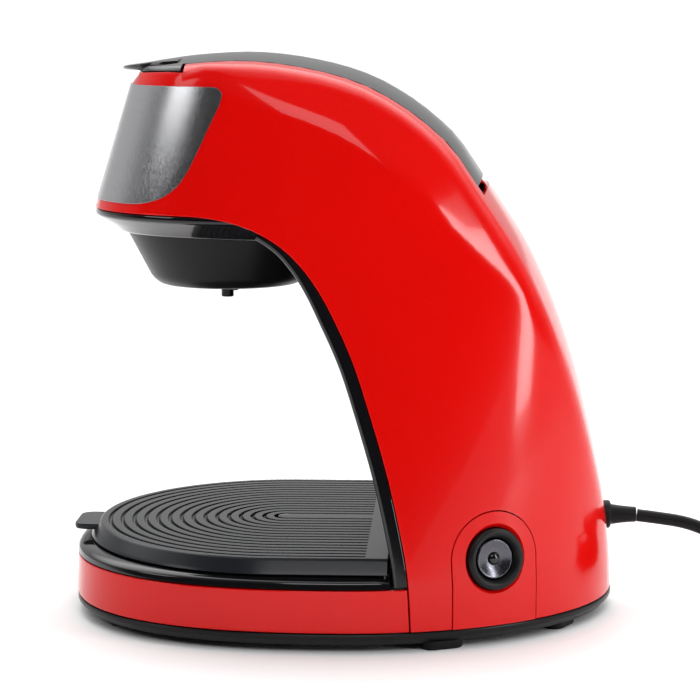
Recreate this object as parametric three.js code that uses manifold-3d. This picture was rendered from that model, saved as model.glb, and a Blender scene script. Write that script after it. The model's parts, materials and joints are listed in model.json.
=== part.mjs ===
// Two-cup drip coffee maker with a C-shaped body: red shell, hinged black lid, steel front plate,
// fixed brew funnel with two outlets, lift-out filter, cup grate over a tray, and a round push switch.
// Millimetres, +Z up, front towards -Y, switch side +X. The origin is on the table, under the middle.
import * as THREE from 'three';
import { mergeVertices } from 'three/addons/utils/BufferGeometryUtils.js';
import Module from 'manifold-3d';

const wasm = await Module();
wasm.setup();

// ---------------------------------------------------------------- driving dimensions
const gap = 0.35; // clearance between pieces that meet
const wall = 2.4; // moulded wall of the red shell
const baseFront = 123.6; // base plan: reach to the front
const baseRear = 123.6; // base plan: reach to the rear
const baseHalf = 97; // base plan: half of the width
const frontPower = 2.46; // roundness of the plan in front of its widest place
const rearPower = 1.92; // roundness of the plan behind it
const footHeight = 3.2;
const rimTop = 9; // top of the black rim of the base
const skirtTop = 27.6; // top of the red band
const rimChamfer = 3;
const headBottom = 185.5; // level lower edge of the red head
const headHalf = 77; // half width of the plan at that edge
const headFront = 113.4; // reach of the nose at that edge
const plateTop = 240.8; // top edge of the steel plate
const noseTopFront = 96.4; // reach of the nose at that height
const topHalf = 68; // half width of the plan at that height
const topEdge = 57; // half width of the crown before the shoulder drops
const crownDrop = 5; // fall of the crown from the middle to that edge
const shoulderSlope = 1.35; // fall of the shoulder per millimetre outwards
const panelBand = 6.5; // visible edge of the black inner panel
const panelWall = 2.6;
const panBottom = 174.5; // lowest face of the pan under the head
const panSlope = 12; // how far the pan draws in below its rim
const plateThickness = 0.9;
const plateProud = 0.4;
const grateTop = 39.7;
const grateRadius = 87; // front half circle of the grate's flat top
const grateCentreY = -26.8;
const grateChord = 13; // where the grooves end
const grateRear = 22.6;
const groovePitch = 5.487;
const grooveCount = 15;
const grooveWidth = 1.9;
const grooveDepth = 1.6;
const grateBevel = 4; // the edge flares out this much on its way down
const grateFoot = 33.2; // lower edge of the flared rim
const grateSkin = 2.6;
const tabTip = 125.4; // reach of the finger tab to the front
const tabHalf = 14;
const ledgeHeight = 32.6; // tray surface around the grate
const funnelY = -53; // brew axis
const funnelTopRadius = 47.3; // at the pan
const funnelBottomRadius = 35.2;
const funnelBottom = 149.6;
const funnelRim = 232; // top of the funnel inside the head
const neckRadius = 33.5; // upper part of the funnel, inside the head
const funnelWall = 2.2;
const outletLength = 6.4;
const outletRadius = 2.8;
const outletSpacing = 24;
const switchY = 69.4;
const switchZ = 38.2;
const switchRadius = 13.5; // bezel
const insertRadius = 20.7; // arch-shaped red insert around the switch
const recessRadius = 15.8; // conical recess in the insert
const hingeY = 54.5;
const hingeZ = 198.5;
const hingeSweep = 10.4; // room around the hinge axis for the lid's tongue as it swings
const lidWall = 2.4;
const pinRadius = 1.9;
const tankFloor = 108;
const cordRadius = 3;
const cordExitZ = 42;

const originY = (baseRear - tabTip) / 2; // plan middle between the tab's tip and the rear

// ---------------------------------------------------------------- solids and lofts
function toSolid(geometry) {
  const plain = geometry.clone();
  plain.deleteAttribute('normal');
  plain.deleteAttribute('uv');
  const merged = mergeVertices(plain, 1e-5);
  return new wasm.Manifold(new wasm.Mesh({
    numProp: 3,
    vertProperties: new Float32Array(merged.attributes.position.array),
    triVerts: new Uint32Array(merged.index.array),
  }));
}

function toGeometry(solid) {
  const mesh = solid.getMesh();
  const geometry = new THREE.BufferGeometry();
  geometry.setAttribute('position', new THREE.BufferAttribute(mesh.vertProperties, 3));
  geometry.setIndex(new THREE.BufferAttribute(mesh.triVerts, 1));
  geometry.computeVertexNormals();
  return geometry;
}

// Closed solid through loops of equal length; its first and last loops are capped.
function loft(loops) {
  const count = loops[0].length;
  const position = loops.flat().flatMap((p) => [p.x, p.y, p.z]);
  const triangles = [];
  for (let i = 0; i + 1 < loops.length; i += 1) {
    for (let j = 0; j < count; j += 1) {
      const a = i * count + j;
      const b = i * count + (j + 1) % count;
      triangles.push(a, b, a + count, b, b + count, a + count);
    }
  }
  for (const [index, flip] of [[0, true], [loops.length - 1, false]]) {
    for (const face of capFaces(loops[index])) {
      const corners = face.map((k) => index * count + k);
      triangles.push(...(flip ? corners.reverse() : corners));
    }
  }
  return closed(position, triangles);
}

function capFaces(loop) {
  const normal = new THREE.Vector3();
  loop.forEach((p, i) => {
    const q = loop[(i + 1) % loop.length];
    normal.x += (p.y - q.y) * (p.z + q.z);
    normal.y += (p.z - q.z) * (p.x + q.x);
    normal.z += (p.x - q.x) * (p.y + q.y);
  });
  normal.normalize();
  const side = new THREE.Vector3(1, 0, 0).cross(normal);
  if (side.length() < 0.1) side.set(0, 1, 0).cross(normal);
  side.normalize();
  const up = normal.clone().cross(side);
  const flat = loop.map((p) => new THREE.Vector2(p.dot(side), p.dot(up)));
  return THREE.ShapeUtils.triangulateShape(flat, []);
}

// Turns the faces outwards when the volume comes out negative.
function closed(position, triangles) {
  let volume = 0;
  const at = (k) => new THREE.Vector3(...position.slice(3 * k, 3 * k + 3));
  for (let i = 0; i < triangles.length; i += 3) {
    const [a, b, c] = [at(triangles[i]), at(triangles[i + 1]), at(triangles[i + 2])];
    volume += a.dot(b.cross(c));
  }
  const geometry = new THREE.BufferGeometry();
  geometry.setAttribute('position', new THREE.Float32BufferAttribute(position, 3));
  geometry.setIndex(volume < 0 ? triangles.reverse() : triangles);
  return toSolid(geometry);
}

const axisX = new THREE.Vector3(1, 0, 0);
const axisY = new THREE.Vector3(0, 1, 0);
const axisZ = new THREE.Vector3(0, 0, 1);

// A (y, z) outline pulled along X.
function acrossX(points, x0, x1) {
  const isShape = points instanceof THREE.Shape;
  const shape = isShape ? points : new THREE.Shape(points.map((p) => new THREE.Vector2(...p)));
  const settings = { depth: x1 - x0, bevelEnabled: false, curveSegments: 10 };
  const geometry = new THREE.ExtrudeGeometry(shape, settings);
  geometry.applyMatrix4(new THREE.Matrix4().makeBasis(axisY, axisZ, axisX).setPosition(x0, 0, 0));
  return toSolid(geometry);
}

// An (x, y) outline pulled up Z.
function upZ(shape, z0, z1, segments = 12) {
  const settings = { depth: z1 - z0, bevelEnabled: false, curveSegments: segments };
  const geometry = new THREE.ExtrudeGeometry(shape, settings);
  return toSolid(geometry.translate(0, 0, z0));
}

// A turned piece: (radius, height) points around Z, then moved to its place.
function turned(points, x, y, segments = 40) {
  const geometry = new THREE.LatheGeometry(points.map((p) => new THREE.Vector2(...p)), segments);
  geometry.rotateX(Math.PI / 2);
  return toSolid(geometry.translate(x, y, 0));
}

function box(x0, x1, y0, y1, z0, z1) {
  const geometry = new THREE.BoxGeometry(x1 - x0, y1 - y0, z1 - z0);
  return toSolid(geometry.translate((x0 + x1) / 2, (y0 + y1) / 2, (z0 + z1) / 2));
}

function bar(from, to, radius, segments = 16) {
  const a = new THREE.Vector3(...from);
  const b = new THREE.Vector3(...to);
  const geometry = new THREE.CylinderGeometry(radius, radius, a.distanceTo(b), segments);
  const turn = new THREE.Quaternion().setFromUnitVectors(axisY, b.clone().sub(a).normalize());
  geometry.applyQuaternion(turn);
  const middle = a.add(b).multiplyScalar(0.5);
  return toSolid(geometry.translate(middle.x, middle.y, middle.z));
}

// A round section pulled along a smooth curve.
function tube(points, radius, steps, sides = 8) {
  const places = points.map((p) => new THREE.Vector3(...p));
  const curve = new THREE.CatmullRomCurve3(places, false, 'centripetal');
  const section = new THREE.Shape();
  for (let i = 0; i < sides; i += 1) {
    const angle = (i / sides) * 2 * Math.PI;
    section[i ? 'lineTo' : 'moveTo'](radius * Math.cos(angle), radius * Math.sin(angle));
  }
  return new THREE.ExtrudeGeometry(section, { steps, extrudePath: curve, curveSegments: sides });
}

// ---------------------------------------------------------------- plan and profile of the body
const mix = (a, b, t) => a + (b - a) * t;

function planHalf(z) {
  if (z < skirtTop) return baseHalf;
  if (z < headBottom) return mix(baseHalf, headHalf, (z - skirtTop) / (headBottom - skirtTop));
  return mix(headHalf, topHalf, (z - headBottom) / (plateTop - headBottom));
}

function planFront(z) {
  if (z < skirtTop) return baseFront;
  if (z < headBottom) return mix(baseFront, headFront, (z - skirtTop) / (headBottom - skirtTop));
  return mix(headFront, noseTopFront, (z - headBottom) / (plateTop - headBottom));
}

// Half width of the body at a place (y, z), drawn in by inset.
function sideAt(y, z, inset) {
  const reach = (y < 0 ? planFront(z) : baseRear) - inset;
  const power = y < 0 ? frontPower : rearPower;
  const share = Math.min(1, Math.abs(y) / reach);
  return (planHalf(z) - inset) * (1 - share ** power) ** (1 / power);
}

// Plan outline at height z. Front and rear halves are separate superellipses.
function planLoop(z, inset, steps = 12) {
  const points = [];
  for (let i = 0; i < 4 * steps; i += 1) {
    const angle = (i / (4 * steps)) * 2 * Math.PI;
    const front = Math.sin(angle) < 0;
    const power = 2 / (front ? frontPower : rearPower);
    const reach = (front ? planFront(z) : baseRear) - inset;
    points.push(new THREE.Vector3(
      (planHalf(z) - inset) * Math.sign(Math.cos(angle)) * Math.abs(Math.cos(angle)) ** power,
      reach * Math.sign(Math.sin(angle)) * Math.abs(Math.sin(angle)) ** power,
      z,
    ));
  }
  return points;
}

// Stack of plan outlines: levels are [height, inset].
function planStack(levels, steps) {
  return loft(levels.map(([z, inset]) => planLoop(z, inset, steps)));
}

const innerArch = new THREE.SplineCurve([
  [33, rimTop], [32, skirtTop], [29.8, 44], [23.2, 74], [14.6, 103.5], [6, 128.5], [-6.8, 154],
  [-19.6, 169.8], [-32.3, 178.4], [-45, 183], [-60, headBottom - 0.2], [-78, headBottom],
  [-headFront, headBottom],
].map((p) => new THREE.Vector2(...p)));

const ridge = new THREE.SplineCurve([
  [baseRear - 0.2, rimTop], [122.2, 30], [118, 60], [108.3, 103], [98.8, 133.2], [89.4, 156], [80, 173.9],
  [62.4, 200.2], [52.4, 214.8], [43.3, 223.9], [29.6, 234.4], [11.4, 244.3], [-11.3, 251], [-38.6, 254.6],
  [-66, 253.5], [-89, 250.2],
].map((p) => new THREE.Vector2(...p)));

// Stations along the body: share along the inner arch and along the ridge.
const bodyStations = 17;

const archShare = (i) => 0.9 * (i / bodyStations) ** 0.97;

function station(i) {
  return [innerArch.getPointAt(archShare(i)), ridge.getPointAt(0.99 * (i / bodyStations))];
}

// The nose closes with its own stations: distance back from the tip, and the ridge's place there.
const noseStations = [
  [18, -87, 250.3], [9.5, -89.2, 249.2], [4.5, -90.6, 246], [1.6, -93.4, 243.2], [0.25, -96.2, 240.7],
];

function bodySections(inset) {
  const sections = [];
  for (let i = 0; i <= bodyStations; i += 1) {
    sections.push(station(i));
  }
  for (const [back, y, z] of noseStations) {
    const a = new THREE.Vector2(back + inset - headFront, headBottom);
    sections.push([a, new THREE.Vector2(y + inset, z)]);
  }
  return sections;
}

// One cross-section: up the side to the crease, then over the shoulder and the crown.
function sectionLoop(a, r, inset, below) {
  const length = r.distanceTo(a) - inset;
  const along = r.clone().sub(a).normalize();
  const at = (d) => a.clone().addScaledVector(along, d);
  const sag = (x) => crownDrop * Math.min(1, x / topEdge) ** 2 + shoulderSlope * Math.max(0, x - topEdge);
  const sideOf = (d) => sideAt(at(d).x, at(d).y, inset);
  let low = 0;
  let high = length;
  for (let i = 0; i < 40; i += 1) {
    const middle = (low + high) / 2;
    if (sag(sideOf(middle)) < length - middle) low = middle;
    else high = middle;
  }
  const crease = low;
  const creaseX = sideOf(crease);
  const half = [];
  for (const share of [0, 0.35, 0.7, 1]) {
    const d = mix(-below, crease, share);
    half.push([sideOf(Math.max(0, d)), d]);
  }
  const wide = creaseX > topEdge;
  const crown = wide ? [(creaseX + topEdge) / 2, topEdge, 0.82 * topEdge, 0.6 * topEdge, 0.3 * topEdge]
    : [0.97, 0.9, 0.75, 0.5, 0.25].map((share) => share * creaseX);
  for (const x of crown) {
    half.push([x, length - sag(x)]);
  }
  const loop = half.map(([x, d]) => new THREE.Vector3(x, at(d).x, at(d).y));
  loop.push(new THREE.Vector3(0, at(length).x, at(length).y));
  for (const [x, d] of half.slice().reverse()) {
    loop.push(new THREE.Vector3(-x, at(d).x, at(d).y));
  }
  return loop;
}

// The whole C-shaped body as one solid, drawn in by inset and let out past the inner arch by below.
function bodySolid(inset, below) {
  const loops = bodySections(inset).map(([a, r]) => sectionLoop(a, r, inset, below));
  return loft(loops);
}

// ---------------------------------------------------------------- split lines
// The lid's lower edge seen from the side, front to rear, with the step up to the hinge tongue.
const lidLine = [
  [-130, 246.4], [-90, 246.4], [-75, 247.2], [-60, 246.8], [-46, 245.6], [-33, 243.9],
  [-20, 241.6], [-7, 238.3], [5.5, 233.4], [16, 228.4], [27, 221.8], [35.5, 214.8],
  [42.2, 207.2], [49.4, 208.3], [56, 208.8],
];
const tongueHalf = topEdge - 0.4;
const tongueEnd = [[57.2, 195.4], [64.6, 201.8]]; // the tongue is cut square to the back

// Everything that belongs to the lid, as a cutting solid that is let out by grow.
function lidZone(grow) {
  const main = lidLine.map(([y, z], i) => {
    const [y0, z0] = lidLine[Math.max(i - 1, 0)];
    const [y1, z1] = lidLine[Math.min(i + 1, lidLine.length - 1)];
    const normal = new THREE.Vector2(z1 - z0, y0 - y1).normalize().multiplyScalar(grow * 1.25);
    return [y + normal.x, z + normal.y];
  });
  main.push([90, 290], [-130, 290]);
  const zone = acrossX(main, -120, 120);
  const [[y0, z0], [y1, z1]] = tongueEnd;
  const tongue = [[38, 203 - grow], [y0 - 8, z0 + 5.4 - grow], [y0 + grow, z0 - grow],
    [y1 + grow, z1 - grow], [90, 290], [38, 290]];
  const half = tongueHalf + grow;
  return zone.add(acrossX(tongue, -half, half));
}

// Everything the inner arch leaves open, moved into the body by offset(share along the arch).
function archZone(offset, xHalf = 120) {
  const points = [];
  for (let i = 0; i <= bodyStations + 1; i += 1) {
    const share = Math.min(1, archShare(i));
    const p = innerArch.getPointAt(share);
    const t = innerArch.getTangentAt(share);
    const d = offset(share);
    points.push([p.x + t.y * d, p.y - t.x * d]);
  }
  const first = points[0];
  const last = points[points.length - 1];
  points[0] = [first[0], rimTop - 6];
  points.push([-200, last[1]], [-200, rimTop - 6]);
  return acrossX(points, -xHalf, xHalf);
}

// ---------------------------------------------------------------- switch frame
// The switch looks out square to the body's side at its height.
const switchX = sideAt(switchY, switchZ, 0);
const switchNormal = (() => {
  const step = 0.5;
  const dx = sideAt(switchY + step, switchZ, 0) - sideAt(switchY - step, switchZ, 0);
  const dz = sideAt(switchY, switchZ + step, 0) - sideAt(switchY, switchZ - step, 0);
  const alongY = new THREE.Vector3(dx, 2 * step, 0);
  const alongZ = new THREE.Vector3(dz, 0, 2 * step);
  return alongY.cross(alongZ).normalize();
})();
const switchFrame = new THREE.Matrix4().makeBasis(
  axisZ.clone().cross(switchNormal).normalize(),
  switchNormal.clone().cross(axisZ.clone().cross(switchNormal).normalize()),
  switchNormal,
).setPosition(switchX, switchY, switchZ);

// A piece turned around the switch axis: (radius, height over the skin).
function switchTurned(points, segments = 28) {
  const geometry = new THREE.LatheGeometry(points.map((p) => new THREE.Vector2(...p)), segments);
  geometry.rotateX(Math.PI / 2);
  return toSolid(geometry.applyMatrix4(switchFrame));
}

// The arch outline of the insert, pulled along the switch axis.
function insertPrism(radius, low, d0, d1) {
  const shape = new THREE.Shape();
  shape.moveTo(-radius, low);
  shape.lineTo(radius, low);
  shape.lineTo(radius, 0);
  shape.absarc(0, 0, radius, 0, Math.PI, false);
  const settings = { depth: d1 - d0, bevelEnabled: false, curveSegments: 20 };
  const geometry = new THREE.ExtrudeGeometry(shape, settings);
  geometry.translate(0, 0, d0);
  return toSolid(geometry.applyMatrix4(switchFrame));
}

// ---------------------------------------------------------------- materials and the scene graph
const group = new THREE.Group();
group.position.y = -originY;
const finish = {
  red: { color: 0xd8120c, roughness: 0.18, metalness: 0 },
  black: { color: 0x0b0b0d, roughness: 0.2, metalness: 0 },
  satin: { color: 0x1a1b1e, roughness: 0.45, metalness: 0 },
  steel: { color: 0x9a9a9c, roughness: 0.3, metalness: 1 },
  chrome: { color: 0xb9babd, roughness: 0.15, metalness: 1 },
  aluminium: { color: 0xa6a8ab, roughness: 0.5, metalness: 1 },
  inside: { color: 0x2a2b2e, roughness: 0.6, metalness: 0 },
  rubber: { color: 0x141414, roughness: 0.8, metalness: 0 },
  hose: { color: 0xd9d6cc, roughness: 0.5, metalness: 0 },
  tank: { color: 0xd5d8d8, roughness: 0.35, metalness: 0 },
  mesh: { color: 0xb89a4a, roughness: 0.45, metalness: 0.3 },
};

function addPiece(name, solid, look) {
  const geometry = solid.isBufferGeometry ? solid : toGeometry(solid);
  const mesh = new THREE.Mesh(geometry, new THREE.MeshStandardMaterial(finish[look]));
  mesh.name = name;
  group.add(mesh);
}

// ---------------------------------------------------------------- base
const basePlate = planStack([[footHeight, rimChamfer], [footHeight + rimChamfer, 0.2], [rimTop - gap, 0]])
  .subtract(planStack([[footHeight + 2.2, 6], [rimTop + 1, 5]]));
const screwPlaces = [[56, -62], [-56, -62], [52, 6], [-52, 6]];
const screwRadius = 1.7;
const screwHead = 3.4;
const screwTop = 13;
const bossRadius = 5;
const footSocket = 1.2; // the feet reach this far up into the plate
const screwHoles = screwPlaces.map(([x, y]) => bar([x, y, 0], [x, y, screwTop], screwRadius + 0.4, 8));
const bossSolids = screwPlaces.map(([x, y]) => bar(
  [x, y, footHeight + 1],
  [x, y, rimTop - gap],
  bossRadius,
  10,
));
const footPlaces = [[46, -100.5], [82, 46], [42, 98]].flatMap(([x, y]) => [[x, y], [-x, y]]);
function footPad(x, y, grow, z0, z1) {
  const shape = new THREE.Shape();
  const half = 5 + grow;
  const reach = 4.5;
  shape.absarc(reach, 0, half, -Math.PI / 2, Math.PI / 2, false);
  shape.absarc(-reach, 0, half, Math.PI / 2, 1.5 * Math.PI, false);
  const slope = Math.atan2(y < 0 ? y / baseFront : y / baseRear, x / baseHalf) + Math.PI / 2;
  const settings = { depth: z1 - z0, bevelEnabled: false, curveSegments: 2 };
  const geometry = new THREE.ExtrudeGeometry(shape, settings);
  return toSolid(geometry.rotateZ(slope).translate(x, y, z0));
}
let plate = basePlate;
for (const boss of bossSolids) {
  plate = plate.add(boss);
}
for (const hole of screwHoles) {
  plate = plate.subtract(hole);
}
for (const [x, y] of footPlaces) {
  plate = plate.subtract(footPad(x, y, gap, 0, footHeight + footSocket));
}
addPiece('base_plate', plate, 'satin');

footPlaces.forEach(([x, y], i) => {
  const name = `foot_${['front', 'side', 'rear'][Math.floor(i / 2)]}_${i % 2 ? 'left' : 'right'}`;
  addPiece(name, footPad(x, y, 0, 0, footHeight + footSocket - gap), 'rubber');
});
screwPlaces.forEach(([x, y], i) => {
  const profile = [[0, 1.2], [screwHead, 1.2], [screwHead, footHeight - gap],
    [screwRadius, footHeight - gap], [screwRadius, screwTop], [0, screwTop]];
  addPiece(`base_screw_${i + 1}`, turned(profile, x, y, 10), 'steel');
});

const skirt = planStack([[rimTop, 0.3], [rimTop + 2, 0], [skirtTop, 0.5]])
  .subtract(planStack([[rimTop - 1, wall], [skirtTop + 1, wall + 0.5]]))
  .intersect(archZone(() => -gap));
addPiece('base_skirt', skirt, 'red');

// ---------------------------------------------------------------- red housing
const insertLow = rimTop - switchZ;
const cordHole = bar([0, baseRear - 20, cordExitZ], [0, baseRear + 20, cordExitZ], 7.2, 24);
const plateShape = new THREE.Shape();
plateShape.moveTo(-140, plateTop);
plateShape.lineTo(-55, plateTop);
plateShape.quadraticCurveTo(-48, plateTop, -50.4, plateTop - 6.5);
plateShape.lineTo(-61.5, 211);
plateShape.bezierCurveTo(-66.5, 200.5, -72, 190.4, -92, 189.6);
plateShape.lineTo(-140, 189.3);

function plateZone(shape) {
  return acrossX(shape, -120, 120);
}

const sideLevels = [4, skirtTop, headBottom, 262];
const sideStack = (inset) => planStack(sideLevels.map((z) => [z, inset]), 12);
const grownPlate = new THREE.Shape(plateShape.getPoints(10).map((p, i, all) => {
  const q = all[Math.min(i + 1, all.length - 1)];
  const o = all[Math.max(i - 1, 0)];
  const t = q.clone().sub(o).normalize();
  return new THREE.Vector2(p.x - t.y * gap, p.y + t.x * gap);
}));
const bodySkin = bodySolid(0, 0);
let housing = bodySkin.subtract(bodySolid(wall, 8))
  .subtract(box(-200, 200, -200, 200, 0, rimTop + 0.01))
  .subtract(lidZone(gap))
  .subtract(bar([-tongueHalf - gap, hingeY, hingeZ], [tongueHalf + gap, hingeY, hingeZ], hingeSweep, 32))
  .subtract(cordHole)
  .subtract(insertPrism(insertRadius + gap, insertLow - 5, -14, 20));
const recess = plateZone(grownPlate).subtract(sideStack(plateThickness - plateProud + gap));
housing = housing.subtract(recess);
addPiece('main_housing', housing, 'red');

const frontPlate = sideStack(-plateProud).subtract(sideStack(plateThickness - plateProud))
  .intersect(plateZone(plateShape));
addPiece('front_plate', frontPlate, 'steel');

// ---------------------------------------------------------------- black inner panel and pan
// The panel is deep along the spine and thin under the head, where the pan hangs from it.
const bandDepth = (t) => mix(panelBand, 3, THREE.MathUtils.smoothstep(t, 0.5, 0.72));
const panelSides = sideStack(0.3);
const panelCore = sideStack(0.3 + panelWall);
const aboveTray = box(-200, 200, -200, 200, skirtTop + 0.8, 300);
const strip = archZone(() => -gap).subtract(archZone((t) => -bandDepth(t))).intersect(panelSides);
const stripCore = archZone(() => 2)
  .subtract(archZone((t) => panelWall - bandDepth(t)))
  .intersect(panelCore);
const panTop = headBottom - gap;
const pan = planStack([[panTop, 0.3], [panTop - 2.6, 0.3], [panBottom, panSlope]]);
const panCore = planStack([[panTop + 3, 0.3 + panelWall], [panTop - 2.6, 0.3 + panelWall],
  [panBottom + panelWall, panSlope + panelWall]]);
const funnelRoom = [[0, funnelBottom - 2], [funnelBottomRadius + gap, funnelBottom - 2],
  [funnelBottomRadius + 1, funnelBottom + 3], [funnelTopRadius + gap, panBottom],
  [funnelTopRadius + gap, 200], [0, 200]];
const funnelHole = turned(funnelRoom, 0, funnelY, 36);
const innerPanel = strip.intersect(aboveTray)
  .add(pan.intersect(archZone(() => -gap)))
  .subtract(stripCore)
  .subtract(panCore.intersect(archZone(() => 2)))
  .subtract(funnelHole);
addPiece('inner_panel', innerPanel, 'black');

// ---------------------------------------------------------------- tray and grate
// Plan of the grate: half circle in front, straight sides, straight rear edge.
function grateOutline(radius, rear) {
  const shape = new THREE.Shape();
  shape.absarc(0, grateCentreY, radius, Math.PI, 2 * Math.PI, false);
  shape.lineTo(radius, rear);
  shape.lineTo(-radius, rear);
  return shape;
}

function grateLoop(radius, rear, z) {
  return grateOutline(radius, rear).getPoints(12).slice(0, -1).map((p) => new THREE.Vector3(p.x, p.y, z));
}

const bowlRadius = grateRadius - 4;
const bowlRear = 15;
const bowlFloor = 19;
const trayLevels = [[skirtTop + gap, 0.4], [skirtTop + 3.2, 0.5], [ledgeHeight - 0.5, 2], [ledgeHeight, 4]];
let tray = planStack(trayLevels)
  .intersect(archZone((t) => -bandDepth(t) - gap))
  .add(upZ(grateOutline(bowlRadius + 2, bowlRear + 2), bowlFloor - 2, ledgeHeight - 0.2, 12))
  .subtract(upZ(grateOutline(bowlRadius, bowlRear), bowlFloor, 60, 12));
for (const [x, y] of screwPlaces) {
  tray = tray.add(bar([x, y, rimTop + 0.2], [x, y, bowlFloor - 1], bossRadius - 0.5, 10))
    .subtract(bar([x, y, 0], [x, y, screwTop + 2], screwRadius + 0.4, 8));
}
addPiece('stand_tray', tray, 'black');

let grate = loft([
  grateLoop(grateRadius + grateBevel - 2.2, grateRear - 2, grateFoot),
  grateLoop(grateRadius + grateBevel, grateRear, grateFoot),
  grateLoop(grateRadius + grateBevel - 0.4, grateRear, grateFoot + 1.2),
  grateLoop(grateRadius, grateRear, grateTop - 0.6),
  grateLoop(grateRadius - 1, grateRear - 1, grateTop),
]).subtract(loft([
  grateLoop(grateRadius + grateBevel - grateSkin, grateRear - grateSkin, grateFoot - 1),
  grateLoop(grateRadius - grateSkin, grateRear - grateSkin, grateTop - grateSkin - 0.5),
]));
const tabShape = new THREE.Shape();
tabShape.moveTo(-tabHalf, grateCentreY - grateRadius + 3);
tabShape.lineTo(-tabHalf, -tabTip + 5);
tabShape.quadraticCurveTo(-tabHalf + 1, -tabTip, -tabHalf + 7, -tabTip);
tabShape.lineTo(tabHalf - 7, -tabTip);
tabShape.quadraticCurveTo(tabHalf - 1, -tabTip, tabHalf, -tabTip + 5);
tabShape.lineTo(tabHalf, grateCentreY - grateRadius + 3);
grate = grate.add(upZ(tabShape, grateTop - 4.6, grateTop - 1.9, 6));
for (let i = 0; i < grooveCount; i += 1) {
  const radius = (i + 1) * groovePitch;
  const segments = i < 5 ? 3 : 5;
  const outerEdge = grateOutline(radius + grooveWidth / 2, grateChord);
  const innerEdge = grateOutline(radius - grooveWidth / 2, grateChord + 1);
  const cut = upZ(outerEdge, grateTop - grooveDepth, grateTop + 2, segments)
    .subtract(upZ(innerEdge, grateTop - 9, grateTop + 9, segments));
  grate = grate.subtract(cut);
}
const slotCount = 6; // drain holes through the grate
const slotCircle = 8.5 * groovePitch;
for (let i = 0; i < slotCount; i += 1) {
  const angle = Math.PI * (1 + (i + 0.5) / slotCount);
  const x = slotCircle * Math.cos(angle);
  const y = grateCentreY + slotCircle * Math.sin(angle);
  grate = grate.subtract(bar([x, y, grateTop - 9], [x, y, grateTop + 1], 1.6, 10));
}
addPiece('drip_grate', grate, 'black');

// ---------------------------------------------------------------- funnel, outlets and filter
const shoulderZ = 178;
const funnelSkin = [[0, funnelBottom], [funnelBottomRadius - 3.4, funnelBottom],
  [funnelBottomRadius - 0.9, funnelBottom + 1], [funnelBottomRadius + 0.6, funnelBottom + 3.4],
  [funnelTopRadius, panBottom + 0.6], [funnelTopRadius, shoulderZ], [neckRadius, shoulderZ + 2],
  [neckRadius, funnelRim], [neckRadius + 1.4, funnelRim], [neckRadius + 1.4, funnelRim + 1.8],
  [neckRadius - funnelWall, funnelRim + 1.8], [neckRadius - funnelWall, shoulderZ - 0.4],
  [funnelTopRadius - funnelWall - 1, shoulderZ - funnelWall],
  [funnelTopRadius - funnelWall - 0.6, panBottom + 1],
  [funnelBottomRadius - 1.6, funnelBottom + 4.6],
  [funnelBottomRadius - 4.2, funnelBottom + funnelWall],
  [0, funnelBottom + funnelWall]];
let funnel = turned(funnelSkin, 0, funnelY, 30);
for (const side of [-1, 1]) {
  const x = side * outletSpacing / 2;
  funnel = funnel.subtract(bar([x, funnelY, 140], [x, funnelY, 156], outletRadius + gap, 20));
}
addPiece('brew_funnel', funnel, 'satin');
const outletBore = 1.3;
for (const side of [-1, 1]) {
  const low = funnelBottom + 1 - outletLength;
  const profile = [[outletBore, low], [outletRadius, low], [outletRadius, funnelBottom + 2.6],
    [outletRadius + 1.4, funnelBottom + 2.6], [outletRadius + 1.4, funnelBottom + 3.6],
    [outletBore, funnelBottom + 3.6], [outletBore, low]];
  const outlet = turned(profile, side * outletSpacing / 2, funnelY, 18);
  addPiece(`drip_outlet_${side < 0 ? 'left' : 'right'}`, outlet, 'satin');
}
const filterRim = funnelRim + 1.8 + gap;
const filterTop = neckRadius - funnelWall - gap; // outside of the basket under its rim
const filterFoot = 24;
const filterWall = 1.4;
const filterProfile = [[0, 160], [filterFoot - 2, 160], [filterFoot, 161.5], [filterTop, filterRim],
  [neckRadius + 0.6, filterRim], [neckRadius + 0.6, filterRim + filterWall],
  [filterTop - filterWall, filterRim + filterWall], [filterFoot - filterWall, 162.8],
  [filterFoot - 2.6, 161.4], [0, 161.4]];
addPiece('filter_basket', turned(filterProfile, 0, funnelY, 28), 'mesh');
const filterTab = box(-7, 7, funnelY + neckRadius - 3.4, funnelY + neckRadius + 0.4,
  filterRim + filterWall + gap, filterRim + 4.6);
addPiece('filter_handle', filterTab, 'satin');

// ---------------------------------------------------------------- deck, tank and water path
const deckThickness = 2.4;
const deckLine = [[-130, funnelRim - gap], [0, funnelRim - gap], [16, 220.5], [34, 206.5],
  [50, 191], [66, 180]];
const deckZone = (low, high) => acrossX([...deckLine.map(([y, z]) => [y, z + low]),
  ...deckLine.slice().reverse().map(([y, z]) => [y, z + high])], -120, 120);
const cabin = bodySolid(wall + gap, 0);
let deck = cabin.intersect(deckZone(-deckThickness, 0));
deck = deck.subtract(bar([0, funnelY, 200], [0, funnelY, 260], neckRadius + gap, 36));
const fillShape = new THREE.Shape();
fillShape.moveTo(-40, 12);
fillShape.lineTo(40, 12);
fillShape.lineTo(36, 42);
fillShape.lineTo(-36, 42);
deck = deck.subtract(upZ(fillShape, 180, 260));
const earX = [16, 20];
for (const side of [-1, 1]) {
  const [x0, x1] = earX.map((x) => side * x).sort((a, b) => a - b);
  deck = deck.add(bar([x0, hingeY, hingeZ], [x1, hingeY, hingeZ], 3.8, 20))
    .add(acrossX([[hingeY - 3.8, hingeZ], [hingeY - 1, hingeZ - 3.6], [hingeY - 2.2, hingeZ - 10.8],
      [hingeY - 9, hingeZ - 4.8]], x0, x1))
    .subtract(bar([x0 - 5, hingeY, hingeZ], [x1 + 5, hingeY, hingeZ], pinRadius + gap, 20));
}
deck = deck.subtract(bar([0, 0, 200], [0, 0, 240], 4 + gap, 20));
addPiece('inner_deck', deck, 'inside');

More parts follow.
